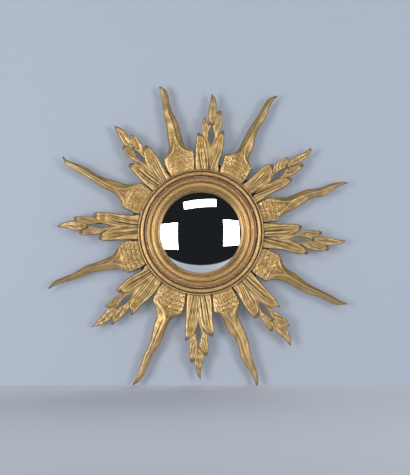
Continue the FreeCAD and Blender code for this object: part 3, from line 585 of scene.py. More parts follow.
def blade_grid(bearing, stations):
    """The grid of a blade's top points. q is how far out each row lies and t where each column is
    between the arris, 0, and an edge, -1 or 1; half is the width of a row's left or right half."""
    known_u, left, ridge, right = np.array(stations, float).T
    tip_u = known_u[-1]
    q = np.concatenate([np.arange(ROOT_START, RING_R - 1, ROOT_STEP),
                        np.arange(RING_R - 1, FINE_TO_U, FINE_STEP),
                        np.arange(FINE_TO_U, tip_u - STEP, STEP), [tip_u - 0.5, tip_u]])[:, None]
    t = np.linspace(-1, 1, FLAME_COLUMNS + 1)[None, :]
    bend = 1 - eased(ARCS_TO_U, STRAIGHT_FROM_U, q)

    def outwards(v):
        return q - bend * (q - np.sqrt(np.maximum(q**2 - v**2, 1.0)))

    edges = []
    for slope, gap, known in zip(joint_slopes(bearing), (RAY_GAP / 2, -RAY_GAP / 2), (left, right)):
        u_edge = q
        for _ in range(5):
            joint = slope * u_edge + gap
            share = eased(known_u[0] - 10.0, known_u[0], u_edge)
            v_edge = joint + (smooth_through(u_edge, known_u, known) - joint) * share
            u_edge = outwards(v_edge)
        edges.append(v_edge)
    crest = np.where(q < known_u[0], ridge[0], smooth_through(q, known_u, ridge))
    half = np.where(t < 0, crest - edges[0], edges[1] - crest)
    v = crest + half * t
    return q, t, v, outwards(v), half


def blade_crown(q, t, tip_u):
    """A blade before it is carved: a low pad on its block, then an arris that is split in two for a
    way. Returns the heights of its edges, how much of each row is block, and its own heights."""
    spread = np.abs(t)
    side, top = (np.interp(q, (BLOCK_TOP_U, NECK_U, tip_u), heights)
                 for heights in zip(*FLAME_HEIGHTS.values()))
    block = eased(SPLIT_U[0] + 10, SPLIT_U[0] - 6, q)
    blade = side + (top - side) * (1 - spread)**1.2
    pad = side + (top - side) * (1 - spread**2.2)
    split = SPLIT_SHARE * np.clip((SPLIT_U[1] - q) / (SPLIT_U[1] - SPLIT_U[0]), 0, 1)**1.15
    inner = np.clip(spread / np.maximum(split, 0.02), 0, 1)
    outer = np.clip((spread - split) / (1 - split), 0, 1)
    hollow = top - SPLIT_DEPTH * np.minimum(split / 0.3, 1) * (1 - inner**2)
    forked = np.where(spread < split, hollow, side + (top - side) * (1 - outer)**1.15)
    above = np.where(split > 0.02, forked, blade)
    return side, block, block * pad + (1 - block) * above


def flame_shell(bearing, stations, scale_depth):
    """The carved blade: scales on its block, a split arris above them, hollow facets to its tip."""
    tip_u = stations[-1][0]
    q, t, v, u, half = blade_grid(bearing, stations)
    side, block, height = blade_crown(q, t, tip_u)
    inset = (1 - np.abs(t)) * half
    height = height + scale_depth * scales(v, u, bearing) * eased(*SCALE_FADE_U[::-1], q)
    height += 0.3 * wander(v, u, 24.0, bearing + 5)
    # the block is left rough from the gouge, in lumps a few millimetres across
    height += 0.10 * wander(v, u, 6.0, bearing + 9) * block
    # a knife line follows one side of the arris and dies out past the middle of the blade
    vein = np.exp(-((t - VEIN_AT * (-1) ** (bearing % 2)) * half / VEIN_WIDTH)**2)
    vein = vein * (eased(SPLIT_U[1] - 14, SPLIT_U[1] + 6, q) * eased(tip_u - 28, tip_u - 78, q))
    height -= VEIN_DEPTH * vein
    height -= rounded_edge(inset, np.minimum(EDGE_ROUND, 0.45 * side))
    height = tongued(v, u, height)
    height[-1] *= 0.6
    tip = eased(tip_u - CHAR_LENGTH, tip_u - 1.0, u) * 0.9
    # the arris is paled with rubbing and a painted highlight, and the blade's edges and knife line are
    # darkened with wax and painted shade
    rubbed_and_highlight = 0.5 * np.exp(-(t * half / ARRIS_WIDTH)**2) * (1 - block)
    return ray_shell(v, u, height, tip, 0.35 * np.exp(-inset / 0.9) + 0.35 * vein, rubbed_and_highlight)


ray_gilding = toned_gilding("toned_gilding_rays", ("#b58b4a", "#c59f61", "#815f2f"), "#ebd29a",
                           "#41311b")
ray_back = bare_limewood()
for name, (bearing, stations) in FLAMES.items():
    shell = flame_shell(bearing, stations, SCALE_DEPTHS.get(name, 1.0))
    hang_ray(f"carved_flame_{name}", f"flame_ray_{name}", bearing, [shell], [ray_gilding, ray_back])


# ---- The eight leaf rays ----
# Pierced leaves between the flames: two big fluted lobes, a slim almond frame round an open eye,
# two small lobes and an end lobe. Every lobe is rounded over and fluted with a gouge.

# Each leaf ray: its bearing, its eye (v of the centre, u of both ends, half width) and its lobes.
# A lobe is two edges of (v, u) points: one from its root to its end, one from there back.
LEAVES = {
    "n": {
        "bearing": 3, "eye": (11, 186, 230, 6.5),
        "big_left": (((-20, 150), (-20.5, 175), (-21, 192), (-18, 207)),
                     ((-8, 204), (0, 195), (4, 180), (6.5, 162))),
        "big_right": (((30, 145), (33, 160), (37, 175), (39, 200), (38, 215)),
                      ((30, 212), (24, 203), (19, 190), (13, 165))),
        "small_left": (((0, 186), (-7, 206), (-10, 222), (-9.5, 234), (-5, 243)),
                       ((-3, 242), (3, 229), (6.5, 218))),
        "small_right": (((22, 190), (27, 212), (31, 224), (32.5, 238), (31, 256)),
                        ((20, 254), (16, 240), (14, 228))),
        "end": (((8.5, 230), (4, 238), (2, 250), (4, 266), (5.5, 280), (7.5, 294)),
                ((9, 294), (15, 287), (18.5, 276), (20.5, 262), (20, 250), (16, 238), (12.5, 230))),
    },
    "ne": {
        "bearing": 50, "eye": (11.5, 183, 228, 6),
        "big_left": (((-20, 142), (-22, 165), (-22, 190), (-20, 200), (-15, 206)),
                     ((-6, 202), (0, 197), (6, 189), (13, 175))),
        "big_right": (((31, 150), (33, 165), (38, 188), (41, 206), (39, 217)),
                      ((29, 214), (22, 206), (16, 193), (12, 178))),
        "small_left": (((4, 187), (-7, 205), (-9, 214), (-9, 225), (-8, 235), (-4, 243)),
                       ((-3, 243), (4, 239), (7.5, 226))),
        "small_right": (((22, 200), (30, 218), (32, 235), (33, 247), (31, 256)),
                        ((24, 253), (19, 243), (15, 226))),
        "end": (((8, 228), (4, 240), (4, 250), (7, 265), (10.5, 275), (11, 285), (12.5, 293)),
                ((14, 293), (20, 287), (22, 276), (22, 262), (20, 250), (15, 229))),
    },
    "e": {
        "bearing": 93, "eye": (3.5, 189, 237, 6),
        "big_left": (((-27, 145), (-27, 170), (-28, 190), (-28, 201), (-26, 209)),
                     ((-16, 207), (-10, 198), (-5, 190), (-1, 180))),
        "big_right": (((27, 160), (28, 175), (33, 200), (34, 215), (34, 224)),
                      ((25, 224), (17, 214), (12, 206), (5, 184))),
        "small_left": (((-8, 196), (-15, 215), (-16, 230), (-17, 244), (-16, 251)),
                       ((-8, 251), (-4, 243), (0, 231))),
        "small_right": (((14, 212), (23, 228), (25, 242), (26, 256), (24, 268)),
                        ((15, 266), (9, 258), (6.5, 246), (6, 234))),
        "end": (((0, 236), (-4, 246), (-6, 260), (-4.5, 271), (-1, 283), (0, 295), (0.5, 305)),
                ((2, 305), (7, 299), (11, 288), (14, 271), (12, 255), (7, 237))),
    },
    "se": {
        "bearing": 140, "eye": (2, 190, 238, 6),
        "big_left": (((-28, 148), (-29, 175), (-30, 195), (-30, 213), (-27, 226)),
                     ((-25, 225), (-19, 221), (-11, 215), (-7, 205), (-1, 184))),
        "big_right": (((24, 150), (28, 167), (30, 180), (31, 198), (29, 210)),
                      ((15, 208), (10, 201), (6, 193), (2, 181))),
        "small_left": (((-9, 212), (-14, 230), (-18, 243), (-19.5, 256), (-17, 270)),
                       ((-15, 270), (-8, 267), (-2, 257), (0, 236))),
        "small_right": (((11, 201), (18, 215), (21, 232), (22, 243), (21, 252)),
                        ((15, 252), (10, 242), (6, 228))),
        "end": (((-1, 238), (-5, 255), (-7, 270), (-6, 281), (-2, 291), (7, 303)),
                ((8.5, 303), (9.5, 293), (9.5, 283), (12, 271), (14, 256), (11, 238))),
    },
    "s": {
        "bearing": 181, "eye": (1, 191, 242, 5.5),
        "big_left": (((-26.5, 150), (-28, 178), (-31, 197), (-32, 206), (-30, 215)),
                     ((-20, 214), (-13, 208), (-7, 200), (-1, 183))),
        "big_right": (((28, 150), (28.5, 180), (29.5, 205), (29, 226)),
                      ((20, 222), (12, 217), (8.5, 209), (2, 185))),
        "small_left": (((-9, 203), (-17, 215), (-19, 230), (-20.5, 245), (-19, 255)),
                       ((-11, 254), (-5, 246), (-1, 234))),
        "small_right": (((8.5, 208), (18, 223), (20, 240), (19.5, 258), (18, 270)),
                        ((9, 268), (4, 258), (2.5, 239))),
        "end": (((-1, 240), (-9, 252), (-11, 262), (-9.5, 272), (-6, 288), (-5, 299), (-5.5, 307)),
                ((-4, 307), (1, 300), (5, 290), (8, 278), (9, 268), (3, 242))),
    },
    "sw": {
        "bearing": 228, "eye": (0, 193, 238, 5.5),
        "big_left": (((-27, 145), (-31, 168), (-31, 198), (-33, 214), (-32, 222)),
                     ((-20, 217), (-13, 214), (-8, 206), (-2, 186))),
        "big_right": (((24, 142), (28, 165), (30.5, 180), (31, 200), (29, 212)),
                      ((13, 205), (8, 198), (2, 182))),
        "small_left": (((-9, 206), (-18, 220), (-20.5, 235), (-21, 250), (-20, 267)),
                       ((-11, 261), (-5, 252), (-1, 234))),
        "small_right": (((10, 200), (17, 216), (20, 230), (20, 243), (19, 252)),
                        ((17, 252), (12, 250), (8.5, 238), (4, 224))),
        "end": (((-1, 237), (-7, 255), (-9, 267), (-7, 279), (-3.5, 289), (6, 303)),
                ((7.5, 303), (6, 297), (7, 288), (9, 272), (11, 255), (8, 234))),
    },
    "w": {
        "bearing": 272, "eye": (7, 191, 239, 5.5),
        "big_left": (((-20, 145), (-22, 172), (-24, 190), (-25, 204), (-23, 211)),
                     ((-10, 209), (-3, 200), (2, 192), (7, 180))),
        "big_right": (((31, 148), (33, 175), (35, 198), (36, 213), (34, 224)),
                      ((20, 221), (14, 212), (10, 200), (7, 182))),
        "small_left": (((-1, 198), (-10, 212), (-12, 230), (-14.5, 244), (-13, 252)),
                       ((-4, 251), (0, 241), (4, 228))),
        "small_right": (((12, 206), (23, 224), (26, 242), (25.5, 256), (24, 266)),
                        ((14, 262), (11, 252), (9, 236))),
        "end": (((4, 237), (-3, 249), (-6, 261), (-4, 270), (-1, 280), (0.5, 291), (1.5, 302)),
                ((3, 302), (8, 296), (12, 285), (15, 273), (14, 260), (9.5, 239))),
    },
    "nw": {
        "bearing": 320, "eye": (4, 187, 228, 5),
        "big_left": (((-23, 142), (-26, 160), (-27, 182), (-27.5, 196), (-27, 203)),
                     ((-15, 203), (-7, 194), (-2, 184), (0, 168))),
        "big_right": (((27, 145), (31, 172), (33.5, 188), (34, 203), (31, 212)),
                      ((20, 211), (13, 203), (7.5, 192), (1, 170))),
        "small_left": (((-5, 192), (-12, 208), (-14, 220), (-15, 231), (-13, 241)),
                       ((-2, 240), (0.5, 232), (2, 222))),
        "small_right": (((13, 201), (22, 214), (25, 227), (25, 240), (21, 252)),
                        ((19, 252), (15, 250), (9.5, 240), (7, 222))),
        "end": (((3, 227), (-3.5, 240), (-5, 251), (-3, 261), (-1, 271), (1, 281), (4.5, 290)),
                ((6, 290), (12, 280), (15, 268), (14.5, 256), (13, 246), (6, 228))),
    },
}

# Heights of a lobe's crown at shares of its length from root to tip; how many flutes run along it
# and how deep they are; the radius of its rounded edge; and how much the flutes fan from the stem.
LOBES = {
    "big": {"crown": ((0, 13.2), (0.35, 13.0), (0.7, 13.4), (0.9, 14.2), (1, 11.5)), "flutes": 5,
            "depth": 1.35, "round": 4.6, "fan": 0.6},
    "small": {"crown": ((0, 9.2), (0.3, 11.2), (0.8, 11.8), (1, 9.0)), "flutes": 3, "depth": 1.1,
              "round": 3.4, "fan": 0.45},
    "end": {"crown": ((0, 9.0), (0.25, 10.6), (0.6, 9.4), (1, 4.6)), "flutes": 1, "depth": 0.9,
            "round": 3.4, "fan": 0.0},
}
FLUTE_WIDTH = 0.85
LOBE_COLUMNS = 44
LOBE_LAP = 3.0
LOBE_TIP_BULGE = 4.5
LOBE_TIP_TURNS_DEG = (18, 36, 54, 72, 86)
EYE_FRAME = {"width": 6.0, "below": 50.0, "above": 18.0, "columns": 12, "points": 48}


def drawn_curve(points, count):
    """A smooth curve through given points, as a number of points evenly spaced along it."""
    p = np.array(points, float)
    p = np.vstack([2 * p[0] - p[1], p, 2 * p[-1] - p[-2]])
    t = np.linspace(0, 1, 14, endpoint=False)[:, None]
    dense = [0.5 * (2 * b + (c - a) * t + (2 * a - 5 * b + 4 * c - d) * t**2
                    + (3 * b - a - 3 * c + d) * t**3) for a, b, c, d in zip(p, p[1:], p[2:], p[3:])]
    dense = np.vstack(dense + [p[-2:-1]])
    run = np.concatenate([[0], np.cumsum(np.hypot(*np.diff(dense, axis=0).T))])
    at = np.linspace(0, run[-1], count)
    return np.column_stack([np.interp(at, run, dense[:, k]) for k in (0, 1)])


def between(edge, other, t):
    """Rows of points from each point of an edge to its fellow on another, at shares t: v and u."""
    return (edge[:, k:k + 1] + (other[:, k:k + 1] - edge[:, k:k + 1]) * t for k in (0, 1))


def lobe_edges(out_path, back_path, count):
    """A lobe's two edges from its root, as points a millimetre apart, then round its tip, and the
    middle of the tip."""
    out_edge, back_edge = drawn_curve(out_path, count), drawn_curve(back_path, count)
    middle = (out_edge[-1] + back_edge[-1]) / 2
    half = (out_edge[-1] - back_edge[-1]) / 2
    ahead = middle - (out_edge[-8] + back_edge[-8]) / 2
    ahead /= np.hypot(*ahead)
    bulge = min(np.hypot(*half), LOBE_TIP_BULGE)
    turns = np.radians(LOBE_TIP_TURNS_DEG)
    caps = ([middle + way * half * math.cos(a) + ahead * bulge * math.sin(a) for a in turns]
            for way in (1, -1))
    return [np.vstack([edge, cap]) for edge, cap in zip((out_edge, back_edge), caps)] + [middle]


def lobe_shell(out_path, back_path, style, eye, side, seed):
    """One lobe between two edge paths from root to tip: crowned, rounded at its edges and tip, with
    flutes that fan from the stem and die out before the tip."""
    length = np.hypot(*np.diff(np.array(out_path, float), axis=0).T).sum()
    out_edge, back_edge, middle = lobe_edges(out_path, back_path, round(length))
    t = np.linspace(0, 1, LOBE_COLUMNS + 1)
    v, u = between(out_edge, back_edge, t)
    centre, low, high, half_width = eye
    inside = np.clip(1 - ((u - (low + high) / 2) / ((high - low) / 2))**2, 0, None) * half_width
    v = np.where(side * (v - centre) < inside, centre + side * inside, v) if side else v
    s = np.linspace(0, 1, len(out_edge))[:, None]
    width = np.hypot(*(out_edge - back_edge).T)[:, None]
    height = np.interp(s, *zip(*style["crown"])) + 0.35 * wander(v, u, 20.0, seed)
    to_tip = (1 - s) * length
    to_edge = np.minimum(t, 1 - t)[None, :] * width
    height = height - rounded_edge(np.minimum(to_edge, to_tip + 0.6),
                                   np.minimum(style["round"], 0.42 * width))
    draws = np.random.default_rng(seed)
    # wax and painted shade darken the lobe's edges and, below, each flute's narrow cut
    wax_and_shade = 0.45 * np.exp(-to_edge / 0.8)
    for number in range(style["flutes"]):
        at = (number + 1 + draws.uniform(-0.2, 0.2)) / (style["flutes"] + 1)
        swing, ends = draws.uniform(-0.06, 0.06), draws.uniform(0.74, 0.95)
        line = at + (1 - at) * style["fan"] * (1 - s)**2 + swing * np.sin(3 * s)
        across = (t[None, :] - line) * width
        fading = eased(ends, ends - 0.3, s) * eased(1.2, 3.2, width / (style["flutes"] + 1))
        narrow, wide = (np.exp(-(across / reach)**2) for reach in (FLUTE_WIDTH, 3.2 * FLUTE_WIDTH))
        flute = 0.55 * narrow + 0.75 * wide
        height = height - 0.8 * style["depth"] * draws.uniform(0.7, 1.1) * flute * fading
        wax_and_shade = wax_and_shade + 0.38 * narrow * fading
    char = np.interp(np.hypot(v - middle[0], u - middle[1]), (1.5, 9.0), (0.8, 0.0))
    return ray_shell(v, u, tongued(v, u, height), np.broadcast_to(char, v.shape), wax_and_shade)


def eye_shell(eye):
    """The slim almond frame round a leaf's open eye, drawn down into a stem between the big lobes."""
    centre, low, high, half = eye
    widest = low + 0.42 * (high - low)
    count = EYE_FRAME["points"]
    loops = []
    for margin, below, above in ((0, 0, 0), (EYE_FRAME["width"], EYE_FRAME["below"], EYE_FRAME["above"])):
        sides = [drawn_curve(((centre, low - below), (centre + s * (half + margin), widest),
                              (centre, high + above)), count) for s in (-1, 1)]
        loops.append(np.vstack([sides[0], sides[1][-2:0:-1]]))
    inner, outer = loops
    t = np.linspace(0, 1, EYE_FRAME["columns"] + 1)
    v, u = between(inner, outer, t)
    crown = np.interp(u, (RING_R, low - 22.0, low, widest, high, high + 18.0),
                      (12.6, 12.4, 10.4, 9.4, 9.6, 9.6))
    height = crown - 1.8 * (2 * t - 1)**2
    rows, columns = v.shape
    top = np.arange(rows * columns).reshape(rows, columns)
    points = [np.stack([v, u, height], axis=-1).reshape(-1, 3)]
    faces = [(top[i, j], top[i, j + 1], top[(i + 1) % rows, j + 1], top[(i + 1) % rows, j])
             for i in range(rows) for j in range(columns - 1)]
    feet = []
    for number, column in enumerate((0, -1)):
        feet.append(rows * columns + number * rows + np.arange(rows))
        points.append(points[0][top[:, column]] * (1, 1, 0))
        faces += band(top[:, column], feet[-1])
    backs = range(len(faces), len(faces) + rows)
    faces += band(*feet)
    count = rows * columns + 2 * rows
    # the frame's walls and edges are darkened with dirt and painted shade, its outer edge most, and its outer
    # end with a painted shade
    dirt_and_shade = np.full(count, 0.9)
    dirt_and_shade[:rows * columns] = np.tile(np.interp(t, (0, 0.15, 0.5, 0.85, 1), (0.6, 0.1, 0.1, 0.5, 0.9)), rows)
    end_shade = np.exp(-((points[0][:, 1] - high) / 3.0)**2)
    dirt_and_shade[:rows * columns] = np.maximum(dirt_and_shade[:rows * columns], end_shade)
    # a painted highlight runs along the frame, beside its crest on the eye's side
    rub_and_highlight = np.zeros(count)
    rub_and_highlight[:rows * columns] = np.tile(0.5 * np.exp(-((t - 0.35) / 0.2)**2), rows)
    return np.vstack(points), faces, {"dirt_and_shade": dirt_and_shade, "rub_and_highlight": rub_and_highlight, "tip": np.zeros(count)}, backs


def leaf_shells(leaf):
    """All the shells of one leaf ray, from its stem outwards."""
    slopes = joint_slopes(leaf["bearing"])
    middle = sum(slopes) / 2
    seed = 10 * leaf["bearing"]
    shells = [eye_shell(leaf["eye"])]
    for side, slope, key in ((-1, slopes[0], "left"), (1, slopes[1], "right")):
        out_edge, back_edge = leaf[f"big_{key}"]
        root = [(slope * u - side * RAY_GAP / 2, u) for u in (ROOT_START, RING_R)]
        inner = [(middle * u - side * LOBE_LAP, u) for u in (ROOT_START, RING_R)]
        shells.append(lobe_shell(root + list(out_edge), inner + list(back_edge[::-1]), LOBES["big"],
                                 leaf["eye"], side, seed + side))
        out_edge, back_edge = leaf[f"small_{key}"]
        shells.append(lobe_shell(out_edge, back_edge[::-1], LOBES["small"], leaf["eye"], side,
                                 seed + 4 + side))
    out_edge, back_edge = leaf["end"]
    shells.append(lobe_shell(out_edge, back_edge[::-1], LOBES["end"], leaf["eye"], 0, seed + 8))
    return shells


for name, leaf in LEAVES.items():
    hang_ray(f"carved_leaf_{name}", f"leaf_ray_{name}", leaf["bearing"], leaf_shells(leaf),
             [ray_gilding, ray_back])


# ---- The packing and the back cover ----
# A ring of pressed cork beds the glass in its rebate, and a disc of millboard closes the back.
# Neither is glued: the turn buttons press the disc on the cork.


def finish_node(node, material):
    """Give a piece of the frame its finish."""
    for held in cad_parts[node].material_slots:
        held.material = material


def pressed_cork():
    """Agglomerated cork: 2 mm grains in light and dark browns, dry and matt."""
    material, tree, shader = new_material("pressed_cork")
    place = add(tree, "ShaderNodeTexCoord").outputs["Object"]
    grains = add(tree, "ShaderNodeTexVoronoi", {"Vector": place, "Scale": 500.0})
    shade = add(tree, "ShaderNodeSeparateXYZ", {0: grains.outputs["Color"]})
    cork = add(tree, "ShaderNodeMix", {0: shade, 6: linear("#8a6238"), 7: linear("#c49a62")},
               data_type="RGBA")
    bump = add(tree, "ShaderNodeBump", {"Height": grains.outputs["Distance"], "Distance": 0.0003,
                                        "Strength": 0.5})
    feed(tree, shader, {"Base Color": cork.outputs[2], "Roughness": 0.9, "Normal": bump})
    return material


def millboard():
    """Grey-brown board of pressed rag: dark and light fibres 2 mm long, cloudy stains, quite matt."""
    material, tree, shader = new_material("millboard")
    place = add(tree, "ShaderNodeTexCoord").outputs["Object"]
    # 60 mm clouds where damp and dust have darkened it, and fibres laid both ways
    clouds = add(tree, "ShaderNodeTexNoise", {"Vector": place, "Scale": 17.0, "Detail": 5.0})
    lying = add(tree, "ShaderNodeMapping", {"Vector": place, "Scale": (300.0, 900.0, 1100.0)})
    standing = add(tree, "ShaderNodeMapping", {"Vector": place, "Scale": (1000.0, 900.0, 350.0)})
    along, up = (add(tree, "ShaderNodeTexNoise", {"Vector": way, "Scale": 1.0, "Detail": 3.0})
                 for way in (lying, standing))
    crossed = add(tree, "ShaderNodeMath", {0: along, 1: up}, operation="MULTIPLY")
    fibre = add(tree, "ShaderNodeMapRange", {"Value": crossed, 1: 0.15, 2: 0.36, 3: 0.0, 4: 1.0})
    stain = add(tree, "ShaderNodeMapRange", {"Value": clouds, 1: 0.42, 2: 0.72, 3: 0.0, 4: 0.7})
    board = add(tree, "ShaderNodeMix", {0: fibre, 6: linear("#786852"), 7: linear("#a08d72")},
                data_type="RGBA")
    aged = add(tree, "ShaderNodeMix", {0: stain, 6: board.outputs[2], 7: linear("#64533d")},
               data_type="RGBA")
    bump = add(tree, "ShaderNodeBump", {"Height": crossed, "Distance": 0.0002, "Strength": 0.6})
    feed(tree, shader, {"Base Color": aged.outputs[2], "Roughness": 0.92, "Normal": bump})
    return material


finish_node("glass_packing", pressed_cork())
finish_node("back_cover", millboard())


# ---- The back board ----
# A softwood ring turned in the lathe, which carries the mouldings and the sixteen rays. Its raised
# rim bears on the wall. The back is only stained, so grain and tool marks still show.


def stained_softwood():
    """Softwood under a dark spirit stain: brown grain lines that run straight across the back, the
    lathe's fine rings over them, and a dull dry face."""
    material, tree, shader = new_material("stained_softwood")
    place = add(tree, "ShaderNodeTexCoord").outputs["Object"]
    # growth rings 4 mm apart that wave over 200 mm, and fibres a third of a millimetre thick
    drawn_out = add(tree, "ShaderNodeMapping", {"Vector": place, "Scale": (5.0, 120.0, 250.0)})
    growth = add(tree, "ShaderNodeTexNoise", {"Vector": drawn_out, "Scale": 1.0, "Detail": 3.0,
                                              "Distortion": 0.6})
    thread = add(tree, "ShaderNodeMapping", {"Vector": place, "Scale": (60.0, 2500.0, 2500.0)})
    fibres = add(tree, "ShaderNodeTexNoise", {"Vector": thread, "Scale": 1.0, "Detail": 2.0})
    # the gouge moved 1.6 mm with each turn
    turned = add(tree, "ShaderNodeTexWave", {"Vector": place, "Scale": 196.0, "Distortion": 0.8,
                                             "Detail": 1.0}, wave_type="RINGS", rings_direction="Y")
    late = add(tree, "ShaderNodeMapRange", {"Value": growth, 1: 0.40, 2: 0.62, 3: 0.0, 4: 1.0})
    plank = add(tree, "ShaderNodeMix", {0: late, 6: linear("#5f4029"), 7: linear("#38241a")},
                data_type="RGBA")
    speck = add(tree, "ShaderNodeMapRange", {"Value": fibres, 1: 0.35, 2: 0.70, 3: 0.0, 4: 0.45})
    stained = add(tree, "ShaderNodeMix", {0: speck, 6: plank.outputs[2], 7: linear("#2a1a12")},
                  data_type="RGBA")
    marks = add(tree, "ShaderNodeMath", {0: turned, 1: 0.6, 2: fibres}, operation="MULTIPLY_ADD")
    bump = add(tree, "ShaderNodeBump", {"Height": marks, "Distance": 0.0003, "Strength": 0.5})
    rough = add(tree, "ShaderNodeMapRange", {"Value": growth, 1: 0.3, 2: 0.7, 3: 0.50, 4: 0.68})
    feed(tree, shader, {"Base Color": stained.outputs[2], "Roughness": rough, "Normal": bump})
    return material


finish_node("back_board", stained_softwood())


# ---- The screws ----
# Slotted wood screws, driven from behind. Countersunk steel ones go through the board into each ray
# and into the moulding. Pan-headed brass ones carry the turn buttons and the hanger.

RECESS_DEPTH = 6.0
REBATE_DEPTH = 9.0
AXIS_R = 0.3
# A screw's head as (radius, depth) points from its axis to its foot, and the radius of its shank.
SUNK_SCREW = {"head": ((AXIS_R, 0.0), (3.25, 0.0), (3.5, 0.2), (1.75, 2.3)), "shank": 1.75}
PAN_SCREW = {"head": ((AXIS_R, 0.0), (1.7, 0.06), (2.5, 0.3), (3.0, 0.75), (3.2, 1.3), (3.2, 1.6)),
             "shank": 1.5}
PAN_THICK = 1.6
SCREW_SIDES = 14
SCREW_SHARP_FROM_DEG = 35.0
SLOT_DEPTH = 0.9
POINT_LENGTH = 5.0
RAY_SCREW_RADII = (118.0, 138.0)
RAY_SCREW_LENGTH = 24.0
MOULDING_SCREW_BEARINGS = np.arange(22.5, 360, 45)
MOULDING_SCREW_RADIUS = 101.7
MOULDING_SCREW_LENGTH = 31.0
BUTTON_RADIUS = 119.0
BUTTON_BEARINGS = (45.0, 135.0, 225.0, 315.0)
BUTTON_DEPTHS = (3.9, 5.9)
HEAD_GAP = 0.05
STRAP_THICK = 1.1
STRAP_SCREW_X = 14.0
STRAP_Z = (109.5, 118.5)
HARDWARE_SCREW_LENGTH = 15.0


def dulled_metal(name, clean, tarnish, rough):
    """Old bare metal: a soft broken gleam, with 5 mm clouds and fine specks of dark tarnish."""
    material, tree, shader = new_material(name)
    place = add(tree, "ShaderNodeTexCoord").outputs["Object"]
    clouds = add(tree, "ShaderNodeTexNoise", {"Vector": place, "Scale": 200.0, "Detail": 6.0})
    scratches = add(tree, "ShaderNodeTexNoise", {"Vector": place, "Scale": 2200.0, "Detail": 2.0})
    dark = add(tree, "ShaderNodeMapRange", {"Value": clouds, 1: 0.44, 2: 0.66, 3: 0.0, 4: 0.9})
    metal = add(tree, "ShaderNodeMix", {0: dark, 6: linear(clean), 7: linear(tarnish)}, data_type="RGBA")
    dull = add(tree, "ShaderNodeMapRange", {"Value": dark, 1: 0.0, 2: 0.9, 3: rough, 4: rough + 0.25})
    bump = add(tree, "ShaderNodeBump", {"Height": scratches, "Distance": 0.0001, "Strength": 0.4})
    feed(tree, shader, {"Base Color": metal.outputs[2], "Metallic": 0.9, "Roughness": dull, "Normal": bump})
    return material


def screw_driver():
    """A tree that stands a screw on every point, cuts its slot and turns it to an angle of its own."""
    tree = bpy.data.node_groups.new("driven_screws", "GeometryNodeTree")
    sockets = (("Places", "Geometry"), ("Screw", "Object"), ("Slot Length", "Float"), ("Slot Width", "Float"),
               ("Slot Depth", "Float"), ("Seed", "Int"), ("Metal", "Material"))
    for label, kind in sockets:
        tree.interface.new_socket(label, in_out="INPUT", socket_type=f"NodeSocket{kind}")
    tree.interface.new_socket("Screws", in_out="OUTPUT", socket_type="NodeSocketGeometry")
    given = add(tree, "NodeGroupInput").outputs
    blank = add(tree, "GeometryNodeObjectInfo", {"Object": given["Screw"]}).outputs["Geometry"]
    both_sides = add(tree, "ShaderNodeMath", {0: given["Slot Depth"], 1: 2.0}, operation="MULTIPLY")
    saw = add(tree, "ShaderNodeCombineXYZ", {0: given["Slot Length"], 1: both_sides, 2: given["Slot Width"]})
    kerf = add(tree, "GeometryNodeMeshCube", {"Size": saw})
    slotted = add(tree, "GeometryNodeMeshBoolean", {"Mesh 1": blank, "Mesh 2": kerf}, operation="DIFFERENCE")
    turn = add(tree, "FunctionNodeRandomValue", {2: 0.0, 3: 2 * math.pi, "Seed": given["Seed"]})
    spun = add(tree, "ShaderNodeCombineXYZ", {1: turn.outputs[1]})
    rotation = add(tree, "FunctionNodeEulerToRotation", {0: spun})
    driven = add(tree, "GeometryNodeInstanceOnPoints", {"Points": given["Places"], "Instance": slotted,
                                                        "Rotation": rotation})
    real = add(tree, "GeometryNodeRealizeInstances", {"Geometry": driven})
    finished = add(tree, "GeometryNodeSetMaterial", {"Geometry": real, "Material": given["Metal"]})
    add(tree, "NodeGroupOutput", {0: finished})
    return tree


def drive_screws(name, node, metal, screw, length, places, seed):
    """Wood screws of one kind, with the faces of their heads at (x, depth, z) places."""
    head, shank = screw["head"], screw["shank"]
    profile = head + ((shank, head[-1][1]), (shank, length - POINT_LENGTH), (AXIS_R, length))
    blank = make_piece("screw_blank", *spin_solid(np.array(profile), SCREW_SIDES))
    screws = make_piece(name, [(x, -depth, z) for x, depth, z in places], [])
    modifier = screws.modifiers.new("driven", "NODES")
    modifier.node_group = driver
    width = 2 * max(r for r, _ in head)
    values = {"Screw": blank, "Slot Length": 1.1 * width * MM, "Slot Width": 0.15 * width * MM,
              "Slot Depth": SLOT_DEPTH * MM, "Seed": seed, "Metal": metal}
    for item in driver.interface.items_tree:
        if item.in_out == "INPUT" and item.name in values:
            modifier[item.identifier] = values[item.name]
    solid = screws.evaluated_get(bpy.context.evaluated_depsgraph_get())
    mesh = bpy.data.meshes.new_from_object(solid)
    screws.modifiers.remove(modifier)
    screws.data = mesh
    mesh.set_sharp_from_angle(angle=math.radians(SCREW_SHARP_FROM_DEG))
    bpy.data.objects.remove(blank)
    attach(screws, "root")
    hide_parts(node)


def round_axis(bearings, radii, depth):
    """Places round the mirror's axis, at bearings clockwise from the top and at some radii."""
    return [(x, depth, z) for bearing in bearings for radius in radii for x, z in [swung(0, radius, bearing)]]


